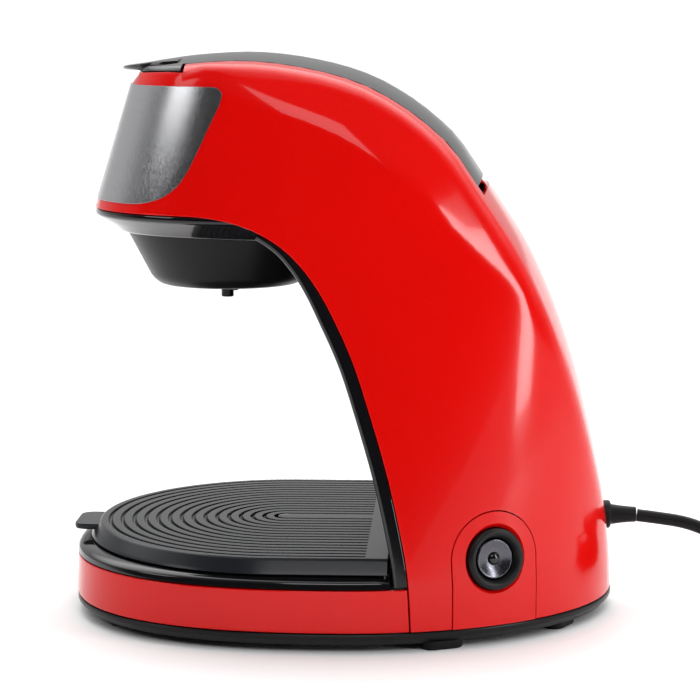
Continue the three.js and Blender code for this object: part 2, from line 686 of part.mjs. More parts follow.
const tankInset = 5;
const tankWall = 2.2;
const inletX = -18; // the hose leaves the tank here
const inletY = 66;
const valveLow = 94;
const rearRoom = (inset, low) => box(-120, 120, inset + 1, 150, low, 260);
const underDeck = acrossX([[-130, 0], ...deckLine.map(([y, z]) => [y, z - deckThickness - gap]),
  [110, 150], [130, 0]], -120, 120);
const tankOuter = bodySolid(tankInset, tankInset - 20)
  .intersect(rearRoom(tankInset, tankFloor))
  .intersect(underDeck);
const tankInner = bodySolid(tankInset + tankWall, tankInset + tankWall - 22.5)
  .intersect(rearRoom(tankInset + tankWall, tankFloor + tankWall));
const tank = tankOuter.subtract(tankInner)
  .subtract(bar([inletX, inletY, valveLow], [inletX, inletY, tankFloor + 12], 3, 16));
addPiece('water_tank', tank, 'tank');
const valveProfile = [[0, valveLow], [6, valveLow], [6, tankFloor - gap], [0, tankFloor - gap]];
addPiece('check_valve', turned(valveProfile, inletX, inletY, 20), 'inside');

const heaterZ = 24;
const legX = 18;
const heaterRear = 88;
const bendY = 60;
const heaterPath = (z, rear) => {
  const points = [[-legX, rear, z], [-legX, (rear + bendY) / 2, z], [-legX, bendY, z]];
  for (let i = 1; i < 8; i += 1) {
    const angle = Math.PI + (i / 8) * Math.PI;
    points.push([legX * Math.cos(angle), bendY + legX * Math.sin(angle), z]);
  }
  points.push([legX, bendY, z], [legX, (rear + bendY) / 2, z], [legX, rear, z]);
  return points;
};
addPiece('heater_tube', tube(heaterPath(heaterZ, heaterRear), 6, 16, 10), 'aluminium');
addPiece('heater_element', tube(heaterPath(heaterZ + 9.6, heaterRear + 0.6), 3.2, 16, 8), 'chrome');
const clampHalf = 30;
const clampTop = 40;
const clampWall = 2.5;
const clampWidth = 6;
const plateFloor = footHeight + 2.2; // upper face of the base plate
[62, 78].forEach((y, i) => {
  const room = clampHalf - clampWall;
  const clamp = box(-clampHalf, clampHalf, y, y + clampWidth, plateFloor + gap, clampTop)
    .subtract(box(-room, room, y - 1, y + clampWidth + 1, 0, clampTop - clampWall));
  addPiece(`heater_clamp_${i + 1}`, clamp, 'steel');
});
const inletPath = [[inletX, inletY, valveLow - 0.6], [inletX, inletY, 88], [inletX, 72, 76],
  [inletX, 90, 58], [inletX, 100, 40], [inletX, 98, 28], [inletX, 92, heaterZ],
  [inletX, heaterRear + 0.5, heaterZ]];
addPiece('inlet_hose', tube(inletPath, 4.5, 20, 8), 'hose');
const riserTop = 224;
const riserRadius = 4;
const riserPath = [[legX, heaterRear + 0.5, heaterZ], [legX, 92, heaterZ], [legX, 98, 28], [17, 100, 40],
  [14, 88, 60], [8, 58, 79], [2, 34, 92], [0, 23, 106], [0, 14.5, 128], [0, 3.6, 152],
  [0, 0.8, 172], [0, 0, 200], [0, 0, riserTop - 6], [0, 0, riserTop]];
addPiece('riser_hose', tube(riserPath, riserRadius, 32, 8), 'hose');
const nozzleProfile = [[2.2, riserTop + gap], [riserRadius, riserTop + gap],
  [riserRadius, funnelRim + 1.2], [2.2, funnelRim + 1.2], [2.2, riserTop + gap]];
addPiece('riser_nozzle', turned(nozzleProfile, 0, 0, 18), 'inside');
const thermostatProfile = [[0, clampTop + gap], [8, clampTop + gap], [8, clampTop + 5],
  [5, clampTop + 7.5], [0, clampTop + 7.5]];
addPiece('thermostat', turned(thermostatProfile, 0, 65, 24), 'chrome');
const fuseZ = clampTop + 2.6;
addPiece('thermal_fuse', bar([-11, 81, fuseZ], [11, 81, fuseZ], 2.2, 12), 'hose');
const terminalTop = 20;
addPiece('terminal_block', box(-64, -44, 60, 78, plateFloor + gap, terminalTop), 'hose');

// ---------------------------------------------------------------- switch
const insertRecess = [[0, -12], [switchRadius + gap, -12], [switchRadius + gap, -1.6],
  [recessRadius, 0.2], [recessRadius + 4, 4], [0, 4]];
const insertBody = bodySkin.subtract(bodySolid(wall, 8))
  .intersect(insertPrism(insertRadius, insertLow + 0.01, -14, 20))
  .subtract(switchTurned(insertRecess));
addPiece('switch_insert', insertBody, 'red');
const bezelProfile = [[9.2, -9], [switchRadius, -9], [switchRadius, 0.4], [switchRadius - 1, 1.4],
  [switchRadius - 2.6, 1.4], [9.6, -0.4], [9.2, -1.4], [9.2, -9]];
addPiece('switch_bezel', switchTurned(bezelProfile), 'black');
const domeRadius = 2.6;
const buttonProfile = [[domeRadius + gap, -7], [8.8, -7], [8.8, -1.2], [8.2, -0.6], [6, -1.3],
  [domeRadius + gap, -1.9], [domeRadius + gap, -7]];
addPiece('switch_button', switchTurned(buttonProfile), 'chrome');
const domeProfile = [[0, -7], [domeRadius, -7], [domeRadius, -1.4], [domeRadius - 0.8, -0.7], [0, -0.4]];
addPiece('button_dome', switchTurned(domeProfile, 18), 'black');
const switchDepth = 24;
const bodyProfile = [[0, -switchDepth], [10, -switchDepth], [10, -12], [switchRadius - 0.5, -12],
  [switchRadius - 0.5, -9 - gap], [0, -9 - gap]];
addPiece('switch_body', switchTurned(bodyProfile, 24), 'inside');

// A place behind the switch, given by depth along its axis, sideways and up.
function behindSwitch(depth, along, up) {
  return new THREE.Vector3(along, up, -depth).applyMatrix4(switchFrame).toArray();
}
const wirePath = [behindSwitch(switchDepth + 0.6, 0, 0), behindSwitch(switchDepth + 9, 0, -2),
  [32, 50, 50], [0, 46, 54], [-34, 56, 44], [-54, 68, 30], [-54, 69, terminalTop + gap]];
addPiece('switch_wires', tube(wirePath, 2, 30, 8), 'rubber');

// ---------------------------------------------------------------- lid
const lidInner = bodySolid(lidWall, 0);
let lid = bodySkin.intersect(lidZone(0)).subtract(lidInner);
const lipShape = new THREE.Shape();
lipShape.absellipse(0, -70, 36, 31, Math.PI, 2 * Math.PI, false);
const lipLine = [[-102, 247], [-102, 247.8], [-99, 248.8], [-87.5, 250.4], [-84, 250], [-84, 247]];
const lip = acrossX(lipLine, -34, 34)
  .intersect(upZ(lipShape, 240, 260, 20));
lid = lid.add(lip);
const lugX = [21.6, 25.6];
for (const side of [-1, 1]) {
  const [x0, x1] = lugX.map((x) => side * x).sort((a, b) => a - b);
  const webLine = [[hingeY - 3.5, hingeZ], [hingeY + 3.5, hingeZ + 2], [hingeY + 3, hingeZ + 7.5],
    [hingeY - 8, hingeZ + 15.5], [hingeY - 8, hingeZ + 9.5]];
  const web = acrossX(webLine, x0, x1).intersect(bodySolid(1, 0));
  lid = lid.add(bar([x0, hingeY, hingeZ], [x1, hingeY, hingeZ], 4, 20)).add(web)
    .subtract(bar([x0 - 1, hingeY, hingeZ], [x1 + 1, hingeY, hingeZ], pinRadius + gap, 20));
}
addPiece('lid_shell', lid, 'black');
for (const side of [-1, 1]) {
  const pin = bar([side * 15, hingeY, hingeZ], [side * 26.4, hingeY, hingeZ], pinRadius, 16);
  addPiece(`hinge_pin_${side < 0 ? 'left' : 'right'}`, pin, 'steel');
}
const linerLine = lidLine.filter(([y]) => y > -80 && y < 36);
const linerUnder = linerLine.map(([y, z]) => [y, z + 0.2]);
const linerOver = linerLine.slice().reverse().map(([y, z]) => [y, z + 1.8]);
const liner = acrossX([...linerUnder, ...linerOver], -53, 53)
  .add(box(-7, 7, -60, -12, 240.6, 246))
  .add(bar([0, funnelY, 239.6], [0, funnelY, 246], 14, 28))
  .intersect(lidInner);
addPiece('lid_liner', liner, 'satin');

// ---------------------------------------------------------------- mains cord behind the machine
// A piece turned around the cord's exit axis: (radius, distance behind the shell).
const exitY = 121;
function exitTurned(points, segments = 20) {
  const geometry = new THREE.LatheGeometry(points.map((p) => new THREE.Vector2(...p)), segments);
  return toSolid(geometry.translate(0, exitY, cordExitZ));
}
const reliefLength = 14;
const reliefProfile = [[0, -12], [8.4, -12], [8.4, -5.5], [6.6, -5.5], [6.6, 2], [5.2, 3.2],
  [cordRadius + 0.7, reliefLength], [0, reliefLength]];
addPiece('strain_relief', exitTurned(reliefProfile), 'rubber');
const cordRoute = [[0, exitY + reliefLength + gap, 41.6], [0, 146, 40.3], [0, 157, 38.5],
  [0, 167, 35], [0, 176, 29.2], [0, 183, 21.8], [0, 190, 14.2], [0, 198, 8], [0, 207, 4.2],
  [0, 212.5, 3.15]];
addPiece('power_cord', tube(cordRoute, cordRadius, 16, 8), 'rubber');

const coilRadius = 33; // middle of the turns
const coilHalf = 6.3; // half width of the bundle of turns
const coilHeight = 11.8;
const coilX = -coilRadius;
const coilY = 238.6;
const coilProfile = [[-coilHalf, 2], [2 - coilHalf, 0], [coilHalf - 2, 0], [coilHalf, 2],
  [coilHalf, coilHeight - 3], [coilHalf - 3, coilHeight], [3 - coilHalf, coilHeight],
  [-coilHalf, coilHeight - 3], [-coilHalf, 2]].map(([r, z]) => [coilRadius + r, z]);
addPiece('cord_coil', turned(coilProfile, coilX, coilY, 24), 'rubber');
const tieReach = coilHalf + 1.5;
const tieY = coilY + coilRadius;
const tie = box(coilX - 3, coilX + 3, tieY - tieReach, tieY + tieReach, 0.4, coilHeight + 1.3)
  .subtract(box(coilX - 4, coilX + 4, tieY - tieReach + 1, tieY + tieReach - 1, -1, coilHeight + 0.4));
addPiece('cord_tie', tie, 'rubber');
const plugY = coilY - coilRadius + 9.4;
const plugZ = coilHeight + gap + 6.9;
const plugEnd = -42 - gap;
// The end of the cord turns a quarter circle from the coil's side to the plug.
const tailRadius = 24;
const tailLow = coilHeight + cordRadius + 0.5;
const tailRoute = [];
for (let i = 0; i <= 8; i += 1) {
  const share = i / 8;
  const angle = THREE.MathUtils.degToRad(mix(186, 270, share));
  tailRoute.push([plugEnd + tailRadius * Math.cos(angle), plugY + tailRadius * (1 + Math.sin(angle)),
    mix(tailLow, plugZ, THREE.MathUtils.smoothstep(share, 0, 1))]);
}
addPiece('cord_tail', tube(tailRoute, cordRadius, 8, 8), 'rubber');
const plugShape = new THREE.Shape();
plugShape.moveTo(-42, -6);
plugShape.lineTo(-34, -8);
plugShape.lineTo(-22, -17.6);
plugShape.lineTo(-7, -17.6);
plugShape.lineTo(-7, 17.6);
plugShape.lineTo(-22, 17.6);
plugShape.lineTo(-34, 8);
plugShape.lineTo(-42, 6);
addPiece('plug_body', upZ(plugShape, -6.85, 6.85).translate([0, plugY, plugZ]), 'rubber');
[-9.3, 9.3].forEach((y, i) => {
  const pin = bar([-7 + gap, plugY + y, plugZ], [12.4, plugY + y, plugZ], 2, 12);
  addPiece(`plug_pin_${i + 1}`, pin, 'chrome');
});

export default group;
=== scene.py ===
"""Studio model of a small two-cup drip coffee maker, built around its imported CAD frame.

Profile numbers are millimetres in the maker's own plan (front towards -Y, switch side +X); they become
metres in the frame's axes when a mesh is made.
"""
import json
import math

import bmesh
import bpy
import numpy as np
from mathutils import Matrix, Vector


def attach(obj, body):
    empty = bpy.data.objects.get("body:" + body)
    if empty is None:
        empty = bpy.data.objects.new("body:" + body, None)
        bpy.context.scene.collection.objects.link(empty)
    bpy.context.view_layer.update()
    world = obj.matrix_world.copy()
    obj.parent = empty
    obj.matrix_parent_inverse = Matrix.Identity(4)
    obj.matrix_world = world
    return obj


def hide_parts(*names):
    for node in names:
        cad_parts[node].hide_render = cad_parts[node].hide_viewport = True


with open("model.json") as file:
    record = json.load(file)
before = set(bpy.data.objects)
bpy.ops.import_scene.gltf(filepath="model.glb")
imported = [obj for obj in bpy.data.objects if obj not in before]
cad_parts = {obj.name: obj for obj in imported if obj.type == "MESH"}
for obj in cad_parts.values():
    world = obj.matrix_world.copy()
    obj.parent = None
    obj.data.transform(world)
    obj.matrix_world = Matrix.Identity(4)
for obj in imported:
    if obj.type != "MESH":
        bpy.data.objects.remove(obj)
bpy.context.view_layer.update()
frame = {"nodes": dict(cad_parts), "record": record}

bl_info = {
    "name": "Drip Coffee Maker",
    "version": (1, 0, 0),
    "blender": (4, 5, 0),
    "location": "View3D > Sidebar > Coffee Maker",
    "description": "Builds a two-cup drip coffee maker with its cord, finishes and studio",
    "category": "Add Mesh",
}

MM = 0.001
SHIFT_Y = 0.9          # the frame's origin lies this far in front of the plan's own middle
TAU = 2 * math.pi

# ------------------------------------------------------------------ plan of the body
BASE_REACH = 123.6
BASE_HALF = 97.0
FRONT_POWER = 2.46
REAR_POWER = 1.92
FOOT_TOP = 3.2
RIM_TOP = 9.0
SKIRT_TOP = 27.6
HEAD_BOTTOM = 185.5
HEAD_HALF = 77.0
HEAD_FRONT = 113.4
PLATE_TOP = 240.8
NOSE_TOP_FRONT = 96.4
TOP_HALF = 68.0
TOP_EDGE = 57.0
CROWN_DROP = 5.0
SHOULDER_SLOPE = 1.35
TONGUE_HALF = 56.6     # half width of the lid's hinge tongue
GRATE_CENTRE = -26.8
GRATE_TOP = 39.7
GROOVE_PITCH = 5.487
GROOVES = 15
GROOVE_END = 13.0
GROOVE_DEPTH = 1.6
GRATE_REAR = 22.6
TAB_TIP = -125.4
TAB_HALF = 14.0
FUNNEL_Y = -53.0
OUTLET_X = 12.0
HINGE = (54.5, 198.5)
LUG_FROM, LUG_TO = 21.6, 25.6
CORD_Z = 42.0
CORD_HOLE = 7.2        # radius of the hole that the cord's sleeve sits in
EXIT_Y = 121.0
CORD_RADIUS = 2.93
CORD_LOW = 3.05        # height of the cord's middle where it lies on the table
COIL = (-33.0, 238.6)
COIL_OUTER, COIL_RADIUS, COIL_TOP = 36.1, 33.0, 15.3
PLUG_END = -42.35
PLUG_Y, PLUG_Z = 215.0, 19.05
TAIL_RADIUS = 24.0     # the end of the cord turns a quarter circle from the coil to the plug
CAMERA_AIM = (0, 0.0032, 0.118)
FLOOR_REACH = 40.0     # metres


def ease(value, start, end):
    """0 before the start, 1 past the end and a smooth rise between."""
    t = min(1.0, max(0.0, (value - start) / (end - start)))
    return t * t * (3 - 2 * t)


def by_height(z, base, head, top):
    """Size of the plan at height z, from its values at the skirt, the head's edge and the plate's top."""
    if z < SKIRT_TOP:
        return base
    if z < HEAD_BOTTOM:
        return base + (head - base) * (z - SKIRT_TOP) / (HEAD_BOTTOM - SKIRT_TOP)
    return head + (top - head) * (z - HEAD_BOTTOM) / (PLATE_TOP - HEAD_BOTTOM)


def plan_half(z):
    """Half width of the plan at height z."""
    return by_height(z, BASE_HALF, HEAD_HALF, TOP_HALF)


def plan_front(z):
    """Reach of the plan to the front at height z."""
    return by_height(z, BASE_REACH, HEAD_FRONT, NOSE_TOP_FRONT)


def side_at(y, z, inset=0.0):
    """Half width of the body at a place (y, z)."""
    reach = (plan_front(z) if y < 0 else BASE_REACH) - inset
    power = FRONT_POWER if y < 0 else REAR_POWER
    share = min(1.0, abs(y) / reach)
    return (plan_half(z) - inset) * (1 - share ** power) ** (1 / power)


def plan_outline(z, inset=0.0, y_end=None, count=160):
    """Plan outline at height z: the whole loop, or from (+x, y_end) round the front to (-x, y_end)."""
    angles = np.linspace(0, TAU, 1440, endpoint=False)
    points = []
    for angle in angles:
        c, s = math.cos(angle), math.sin(angle)
        power = 2 / (FRONT_POWER if s < 0 else REAR_POWER)
        reach = (plan_front(z) if s < 0 else BASE_REACH) - inset
        points.append(((plan_half(z) - inset) * math.copysign(abs(c) ** power, c),
                       reach * math.copysign(abs(s) ** power, s)))
    points = np.array(points)
    if y_end is None:
        return resample(np.vstack([points, points[:1]]), count + 1)[:-1]
    turned = np.roll(points, -360, axis=0)[::-1]
    keep = turned[turned[:, 1] < y_end]
    right = [side_at(y_end, z, inset), y_end]
    open_line = np.vstack([right, keep, [-right[0], y_end]])
    return resample(open_line, count)


def resample(points, count):
    """The same polyline with evenly spaced points."""
    points = np.asarray(points, float)
    steps = np.linalg.norm(np.diff(points, axis=0), axis=1)
    arc = np.concatenate([[0], np.cumsum(steps)])
    at = np.linspace(0, arc[-1], count)
    return np.stack([np.interp(at, arc, points[:, k]) for k in range(points.shape[1])], axis=1)


class Spline:
    """Smooth curve through points, read by its share of length."""

    def __init__(self, points, per=40):
        pts = np.array(points, float)
        last = len(pts) - 1
        line = []
        for i in range(last):
            before, a, b, after = pts[max(i - 1, 0)], pts[i], pts[i + 1], pts[min(i + 2, last)]
            ta, tb = (b - before) / 2, (after - a) / 2
            for t in np.linspace(0, 1, per, endpoint=False):
                cubic = 2 * a - 2 * b + ta + tb
                square = 3 * b - 3 * a - 2 * ta - tb
                line.append(cubic * t ** 3 + square * t ** 2 + ta * t + a)
        line.append(pts[-1])
        self.line = np.array(line)
        steps = np.linalg.norm(np.diff(self.line, axis=0), axis=1)
        self.arc = np.concatenate([[0], np.cumsum(steps)])
        self.length = self.arc[-1]

    def at(self, share):
        where = np.clip(share, 0, 1) * self.length
        return np.array([np.interp(where, self.arc, self.line[:, k]) for k in range(self.line.shape[1])])

    def tangent(self, share):
        step = self.at(min(1, share + 0.002)) - self.at(max(0, share - 0.002))
        return step / np.linalg.norm(step)

    def share_where(self, axis, value):
        """Share of length where a coordinate that only rises or only falls takes a value."""
        column = self.line[:, axis]
        order = np.argsort(column)
        return float(np.interp(value, column[order], self.arc[order])) / self.length


ARCH = Spline([
    (33, 9), (32, 27.6), (29.8, 44), (23.2, 74), (14.6, 103.5), (6, 128.5), (-6.8, 154), (-19.6, 169.8),
    (-32.3, 178.4), (-45, 183), (-60, 185.3), (-78, 185.5), (-113.4, 185.5)])
RIDGE = Spline([
    (123.4, 9), (122.2, 30), (118, 60), (108.3, 103), (98.8, 133.2), (89.4, 156), (80, 173.9), (62.4, 200.2),
    (52.4, 214.8), (43.3, 223.9), (29.6, 234.4), (11.4, 244.3), (-11.3, 251), (-38.6, 254.6), (-66, 253.5),
    (-89, 250.2)])
LID_LINE = np.array([
    (-130, 246.4), (-90, 246.4), (-75, 247.2), (-60, 246.8), (-46, 245.6), (-33, 243.9), (-20, 241.6),
    (-7, 238.3), (5.5, 233.4), (16, 228.4), (27, 221.8), (35.5, 214.8), (42.2, 207.2), (49.4, 203.5)])
# The nose closes by stations: distance back from the tip, and the crown's place there.
NOSE = [(18, -87, 250.3), (9.5, -89.2, 249.2), (4.5, -90.6, 246), (1.6, -93.4, 243.2), (0, -96.3, 240.5)]


def nose_angle(back):
    share = (HEAD_FRONT - back) / HEAD_FRONT
    return math.asin(min(1.0, share ** (FRONT_POWER / 2)))


NOSE_ANGLES = [nose_angle(n[0]) for n in NOSE]


def station(w):
    """Arch point and ridge point of a station: 0 to 1 along the body, 1 to 2 round the nose."""
    if w <= 1:
        return ARCH.at(0.9 * w ** 0.97), RIDGE.at(0.99 * w)
    angle = NOSE_ANGLES[0] + (w - 1) * (math.pi / 2 - NOSE_ANGLES[0])
    back = HEAD_FRONT * (1 - math.sin(angle) ** (2 / FRONT_POWER))
    ridge = np.array([np.interp(angle, NOSE_ANGLES, [n[k] for n in NOSE]) for k in (1, 2)])
    first_arch, first_ridge = ARCH.at(0.9), RIDGE.at(0.99)
    blend = min(1.0, (w - 1) / 0.15)
    arch = np.array([back - HEAD_FRONT, HEAD_BOTTOM])
    return first_arch + (arch - first_arch) * blend, first_ridge + (ridge - first_ridge) * blend


SECTION_POINTS = 281
_sections = {}


def section(w):
    """Points across the body's skin from the arch edge at +X over the crown to the edge at -X."""
    key = round(w, 6)
    if key in _sections:
        return _sections[key]
    a, r = station(w)
    length = float(np.linalg.norm(r - a))
    along = (r - a) / length

    def side(d):
        y, z = a + along * d
        return side_at(y, z)

    def sag(x):
        return CROWN_DROP * min(1, x / TOP_EDGE) ** 2 + SHOULDER_SLOPE * max(0, x - TOP_EDGE)

    low, high = 0.0, length
    for _ in range(40):
        middle = (low + high) / 2
        if sag(side(middle)) < length - middle:
            low = middle
        else:
            high = middle
    crease_x = side(low)
    half = [(side(d), d) for d in np.linspace(0, low, 44)]
    half += [(x, length - sag(x)) for x in np.linspace(crease_x, 0, 40)[1:]]
    full = half + [(-x, d) for x, d in half[-2::-1]]
    line = np.array([(x, *(a + along * d)) for x, d in full])
    line = resample(line, SECTION_POINTS)
    if crease_x > 1:
        line = soften_line(line, 2.6 + 4.0 * max(0.0, 1 - w / 0.55))
    _sections[key] = line
    return line


def soften_line(line, sigma):
    """Rounds the corners of an evenly spaced polyline over sigma millimetres; its ends stay."""
    step = np.linalg.norm(line[1] - line[0])
    reach = max(1, int(3 * sigma / max(step, 1e-6)))
    reach = min(reach, len(line) // 3)
    kernel = np.exp(-0.5 * (np.arange(-reach, reach + 1) * step / sigma) ** 2)
    kernel /= kernel.sum()
    head = 2 * line[0] - line[reach:0:-1]
    tail = 2 * line[-1] - line[-2:-reach - 2:-1]
    padded = np.vstack([head, line, tail])
    return np.stack([np.convolve(padded[:, k], kernel, mode="valid") for k in range(3)], axis=1)


def section_arc(line):
    """Length along a line of points, from its start."""
    return np.concatenate([[0], np.cumsum(np.linalg.norm(np.diff(line, axis=0), axis=1))])


def crease_arcs(w):
    """Arc lengths of the lid's side line, of the tongue's edge and of the middle on a section."""
    line = section(w)
    arc = section_arc(line)
    middle = arc[-1] / 2
    half = len(line) // 2
    right, right_arc = line[:half + 1], arc[:half + 1]
    if w >= STEP:
        level = np.interp(right[:, 1], LID_LINE[:, 0], LID_LINE[:, 1])
        above = np.nonzero(right[:, 2] > level)[0]
        if len(above) and above[0] > 0:
            i = above[0]
            e0, e1 = (right[i - 1, 2] - level[i - 1]), (right[i, 2] - level[i])
            lid = right_arc[i - 1] + (right_arc[i] - right_arc[i - 1]) * (-e0) / (e1 - e0)
        else:
            lid = middle * 0.72
    else:
        lid = max(middle - STEP_REACH, 0.3 * middle)
    wide = np.nonzero(right[:, 0] >= TONGUE_HALF)[0]
    tongue = right_arc[wide[-1]] if len(wide) else 0
    if tongue < lid + 0.1 * (middle - lid):
        tongue = lid + 0.17 * (middle - lid)
    return lid, tongue, middle


def station_where_ridge(y):
    return RIDGE.share_where(0, y) / 0.99


def station_where_lid_line(y):
    """Station whose line passes the lid's lower edge at y."""
    z = float(np.interp(y, LID_LINE[:, 0], LID_LINE[:, 1]))
    low, high = 0.3, 0.95
    for _ in range(40):
        middle = (low + high) / 2
        a, r = station(middle)
        cross = (r[0] - a[0]) * (z - a[1]) - (r[1] - a[1]) * (y - a[0])
        if cross > 0:
            high = middle
        else:
            low = middle
    return (low + high) / 2


LID_END = station_where_ridge(62.9)
BACK_END = station_where_ridge(65.6)
STEP = station_where_lid_line(43.4)
STEP_LID, _, STEP_MIDDLE = crease_arcs(STEP)
STEP_REACH = STEP_MIDDLE - STEP_LID


def station_on_nose(back):
    """Station of the nose at a distance behind its tip."""
    return 1 + (nose_angle(back) - NOSE_ANGLES[0]) / (math.pi / 2 - NOSE_ANGLES[0])


FRONT_LID = station_on_nose(5.6)
FRONT_RED = station_on_nose(4.9)


# ------------------------------------------------------------------ meshes
def new_object(name, points, faces):
    """A mesh object from millimetre points."""
    mesh = bpy.data.meshes.new(name)
    metres = [(x * MM, (y + SHIFT_Y) * MM, z * MM) for x, y, z in points]
    mesh.from_pydata(metres, [], faces)
    mesh.validate()
    obj = bpy.data.objects.new(name, mesh)
    bpy.context.scene.collection.objects.link(obj)
    return obj


def tidy(obj, distance=1e-6):
    """Welds coincident points, drops loose ones and turns the faces outwards."""
    bm = bmesh.new()
    bm.from_mesh(obj.data)
    bmesh.ops.remove_doubles(bm, verts=bm.verts, dist=distance)
    bmesh.ops.dissolve_degenerate(bm, edges=bm.edges, dist=distance)
    loose = [v for v in bm.verts if not v.link_faces]
    bmesh.ops.delete(bm, geom=loose, context="VERTS")
    bmesh.ops.recalc_face_normals(bm, faces=bm.faces)
    bm.to_mesh(obj.data)
    bm.free()


def bake(obj):
    """Makes the modifiers' result the mesh itself."""
    graph = bpy.context.evaluated_depsgraph_get()
    graph.update()
    mesh = bpy.data.meshes.new_from_object(obj.evaluated_get(graph))
    old = obj.data
    obj.modifiers.clear()
    obj.data = mesh
    bpy.data.meshes.remove(old)


def thicken(obj, millimetres):
    """Gives a sheet a wall of that thickness, inwards."""
    modifier = obj.modifiers.new("Wall", "SOLIDIFY")
    modifier.thickness = millimetres * MM
    modifier.offset = -1
    modifier.use_even_offset = True
    modifier.thickness_clamp = 0
    bake(obj)


def round_edges(obj, millimetres, segments=2, angle=40):
    """Rounds the edges that are sharper than an angle in degrees."""
    modifier = obj.modifiers.new("Edges", "BEVEL")
    modifier.width = millimetres * MM
    modifier.segments = segments
    modifier.limit_method = "ANGLE"
    modifier.angle_limit = math.radians(angle)
    modifier.miter_outer = "MITER_ARC"
    bake(obj)


def cut(obj, cutter, operation="DIFFERENCE"):
    """Cuts a piece with another one, which is then removed."""
    modifier = obj.modifiers.new("Cut", "BOOLEAN")
    modifier.operation = operation
    modifier.solver = "EXACT"
    modifier.object = cutter
    bake(obj)
    mesh = cutter.data
    bpy.data.objects.remove(cutter)
    bpy.data.meshes.remove(mesh)


def smooth(obj, angle=32):
    """Shades smooth, with edges kept sharp past an angle in degrees."""
    obj.data.shade_smooth()
    obj.data.set_sharp_from_angle(angle=math.radians(angle))
    modifier = obj.modifiers.new("Even normals", "WEIGHTED_NORMAL")
    modifier.keep_sharp = True
    modifier.weight = 60
    bake(obj)


def sheet_faces(rows, columns, closed=False, start=0):
    """Faces of a sheet over rows and columns of points."""
    faces = []
    for i in range(rows - 1):
        for j in range(columns if closed else columns - 1):
            k = (j + 1) % columns
            faces.append((start + i * columns + j, start + i * columns + k,
                          start + (i + 1) * columns + k, start + (i + 1) * columns + j))
    return faces


def skin_solid(name, loops, caps=(True, True)):
    """Closed loops of equal length joined into one skin, with flat caps at its ends."""
    count = len(loops[0])
    points = [tuple(p) for loop in loops for p in loop]
    faces = sheet_faces(len(loops), count, closed=True)
    if caps[0]:
        faces.append(tuple(range(count))[::-1])
    if caps[1]:
        faces.append(tuple(range((len(loops) - 1) * count, len(loops) * count)))
    obj = new_object(name, points, faces)
    tidy(obj)
    return obj


def turned(name, profile, x, y, segments=96, matrix=None):
    """A turned piece: (radius, height) profile round an upright axis, or round a given frame's Z."""
    loops = []
    for radius, height in profile:
        ring = []
        for i in range(segments):
            angle = i / segments * TAU
            point = Vector((radius * math.cos(angle), radius * math.sin(angle), height))
            point = matrix @ point if matrix is not None else point + Vector((x, y, 0))
            ring.append(tuple(point))
        loops.append(ring)
    closed = profile[0] == profile[-1]
    obj = skin_solid(name, loops[:-1] + [loops[0]] if closed else loops, (False, False))
    tidy(obj, 1e-7)
    return obj


def corner_arc(before, corner, after, radius, steps):
    """A corner rounded by a short curve between its two sides."""
    corner = np.array(corner, float)
    to_prev = np.array(before, float) - corner
    to_next = np.array(after, float) - corner
    reach = min(radius, 0.45 * np.linalg.norm(to_prev), 0.45 * np.linalg.norm(to_next))
    a = corner + to_prev / np.linalg.norm(to_prev) * reach
    b = corner + to_next / np.linalg.norm(to_next) * reach
    return [tuple((1 - t) ** 2 * a + 2 * t * (1 - t) * corner + t * t * b) for t in np.linspace(0, 1, steps)]


def rounded(corners, radius, steps=5):
    """A closed outline with its corners rounded."""
    out = []
    for i, corner in enumerate(corners):
        out += corner_arc(corners[i - 1], corner, corners[(i + 1) % len(corners)], radius, steps)
    return out


def fillet(profile, radii, steps=5):
    """An open profile with chosen corners rounded: radii maps a corner's index to its radius."""
    out = []
    for i, corner in enumerate(profile):
        if i in radii:
            out += corner_arc(profile[i - 1], corner, profile[i + 1], radii[i], steps)
        else:
            out.append(tuple(corner))
    return out


def ring_points(count):
    """Angles of a full turn."""
    return np.linspace(0, TAU, count, endpoint=False)


def slab(name, outline, low, high, edge=0.6, place=None):
    """A flat piece from an (x, y) outline, with rounded edges."""
    loops = [[(x, y, z) for x, y in outline] for z in (low, high)]
    if place is not None:
        loops = [[tuple(place @ Vector(p)) for p in loop] for loop in loops]
    obj = skin_solid(name, loops)
    if edge:
        round_edges(obj, edge, 3, 40)
    return obj


def join(objects, name):
    """Several meshes as one object."""
    bpy.ops.object.select_all(action="DESELECT")
    for obj in objects:
        obj.select_set(True)
    bpy.context.view_layer.objects.active = objects[0]
    bpy.ops.object.join()
    objects[0].name = name
    return objects[0]


def settle(obj, body, slot_name, material, *nodes, angle=32):
    """Last steps of a piece: smooth shading, finish, and what it rides on and stands for."""
    if obj.type == "MESH":
        smooth(obj, angle)
    obj.data.materials.clear()
    obj.data.materials.append(material)
    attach(obj, body)
    if nodes:
        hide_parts(*nodes)
    return obj


# ------------------------------------------------------------------ switch frame
SWITCH_Y, SWITCH_Z = 69.4, 38.2
INSERT_RADIUS, RECESS_RADIUS, BEZEL_RADIUS = 20.7, 15.8, 13.5


def switch_frame():
    """Axes of the switch: across, up and out of the side wall."""
    step = 0.5
    dx = side_at(SWITCH_Y + step, SWITCH_Z) - side_at(SWITCH_Y - step, SWITCH_Z)
    dz = side_at(SWITCH_Y, SWITCH_Z + step) - side_at(SWITCH_Y, SWITCH_Z - step)
    normal = Vector((dx, 2 * step, 0)).cross(Vector((dz, 0, 2 * step))).normalized()
    across = Vector((0, 0, 1)).cross(normal).normalized()
    up = normal.cross(across)
    matrix = Matrix((across, up, normal)).transposed().to_4x4()
    matrix.translation = (side_at(SWITCH_Y, SWITCH_Z), SWITCH_Y, SWITCH_Z)
    return matrix


SWITCH = switch_frame()


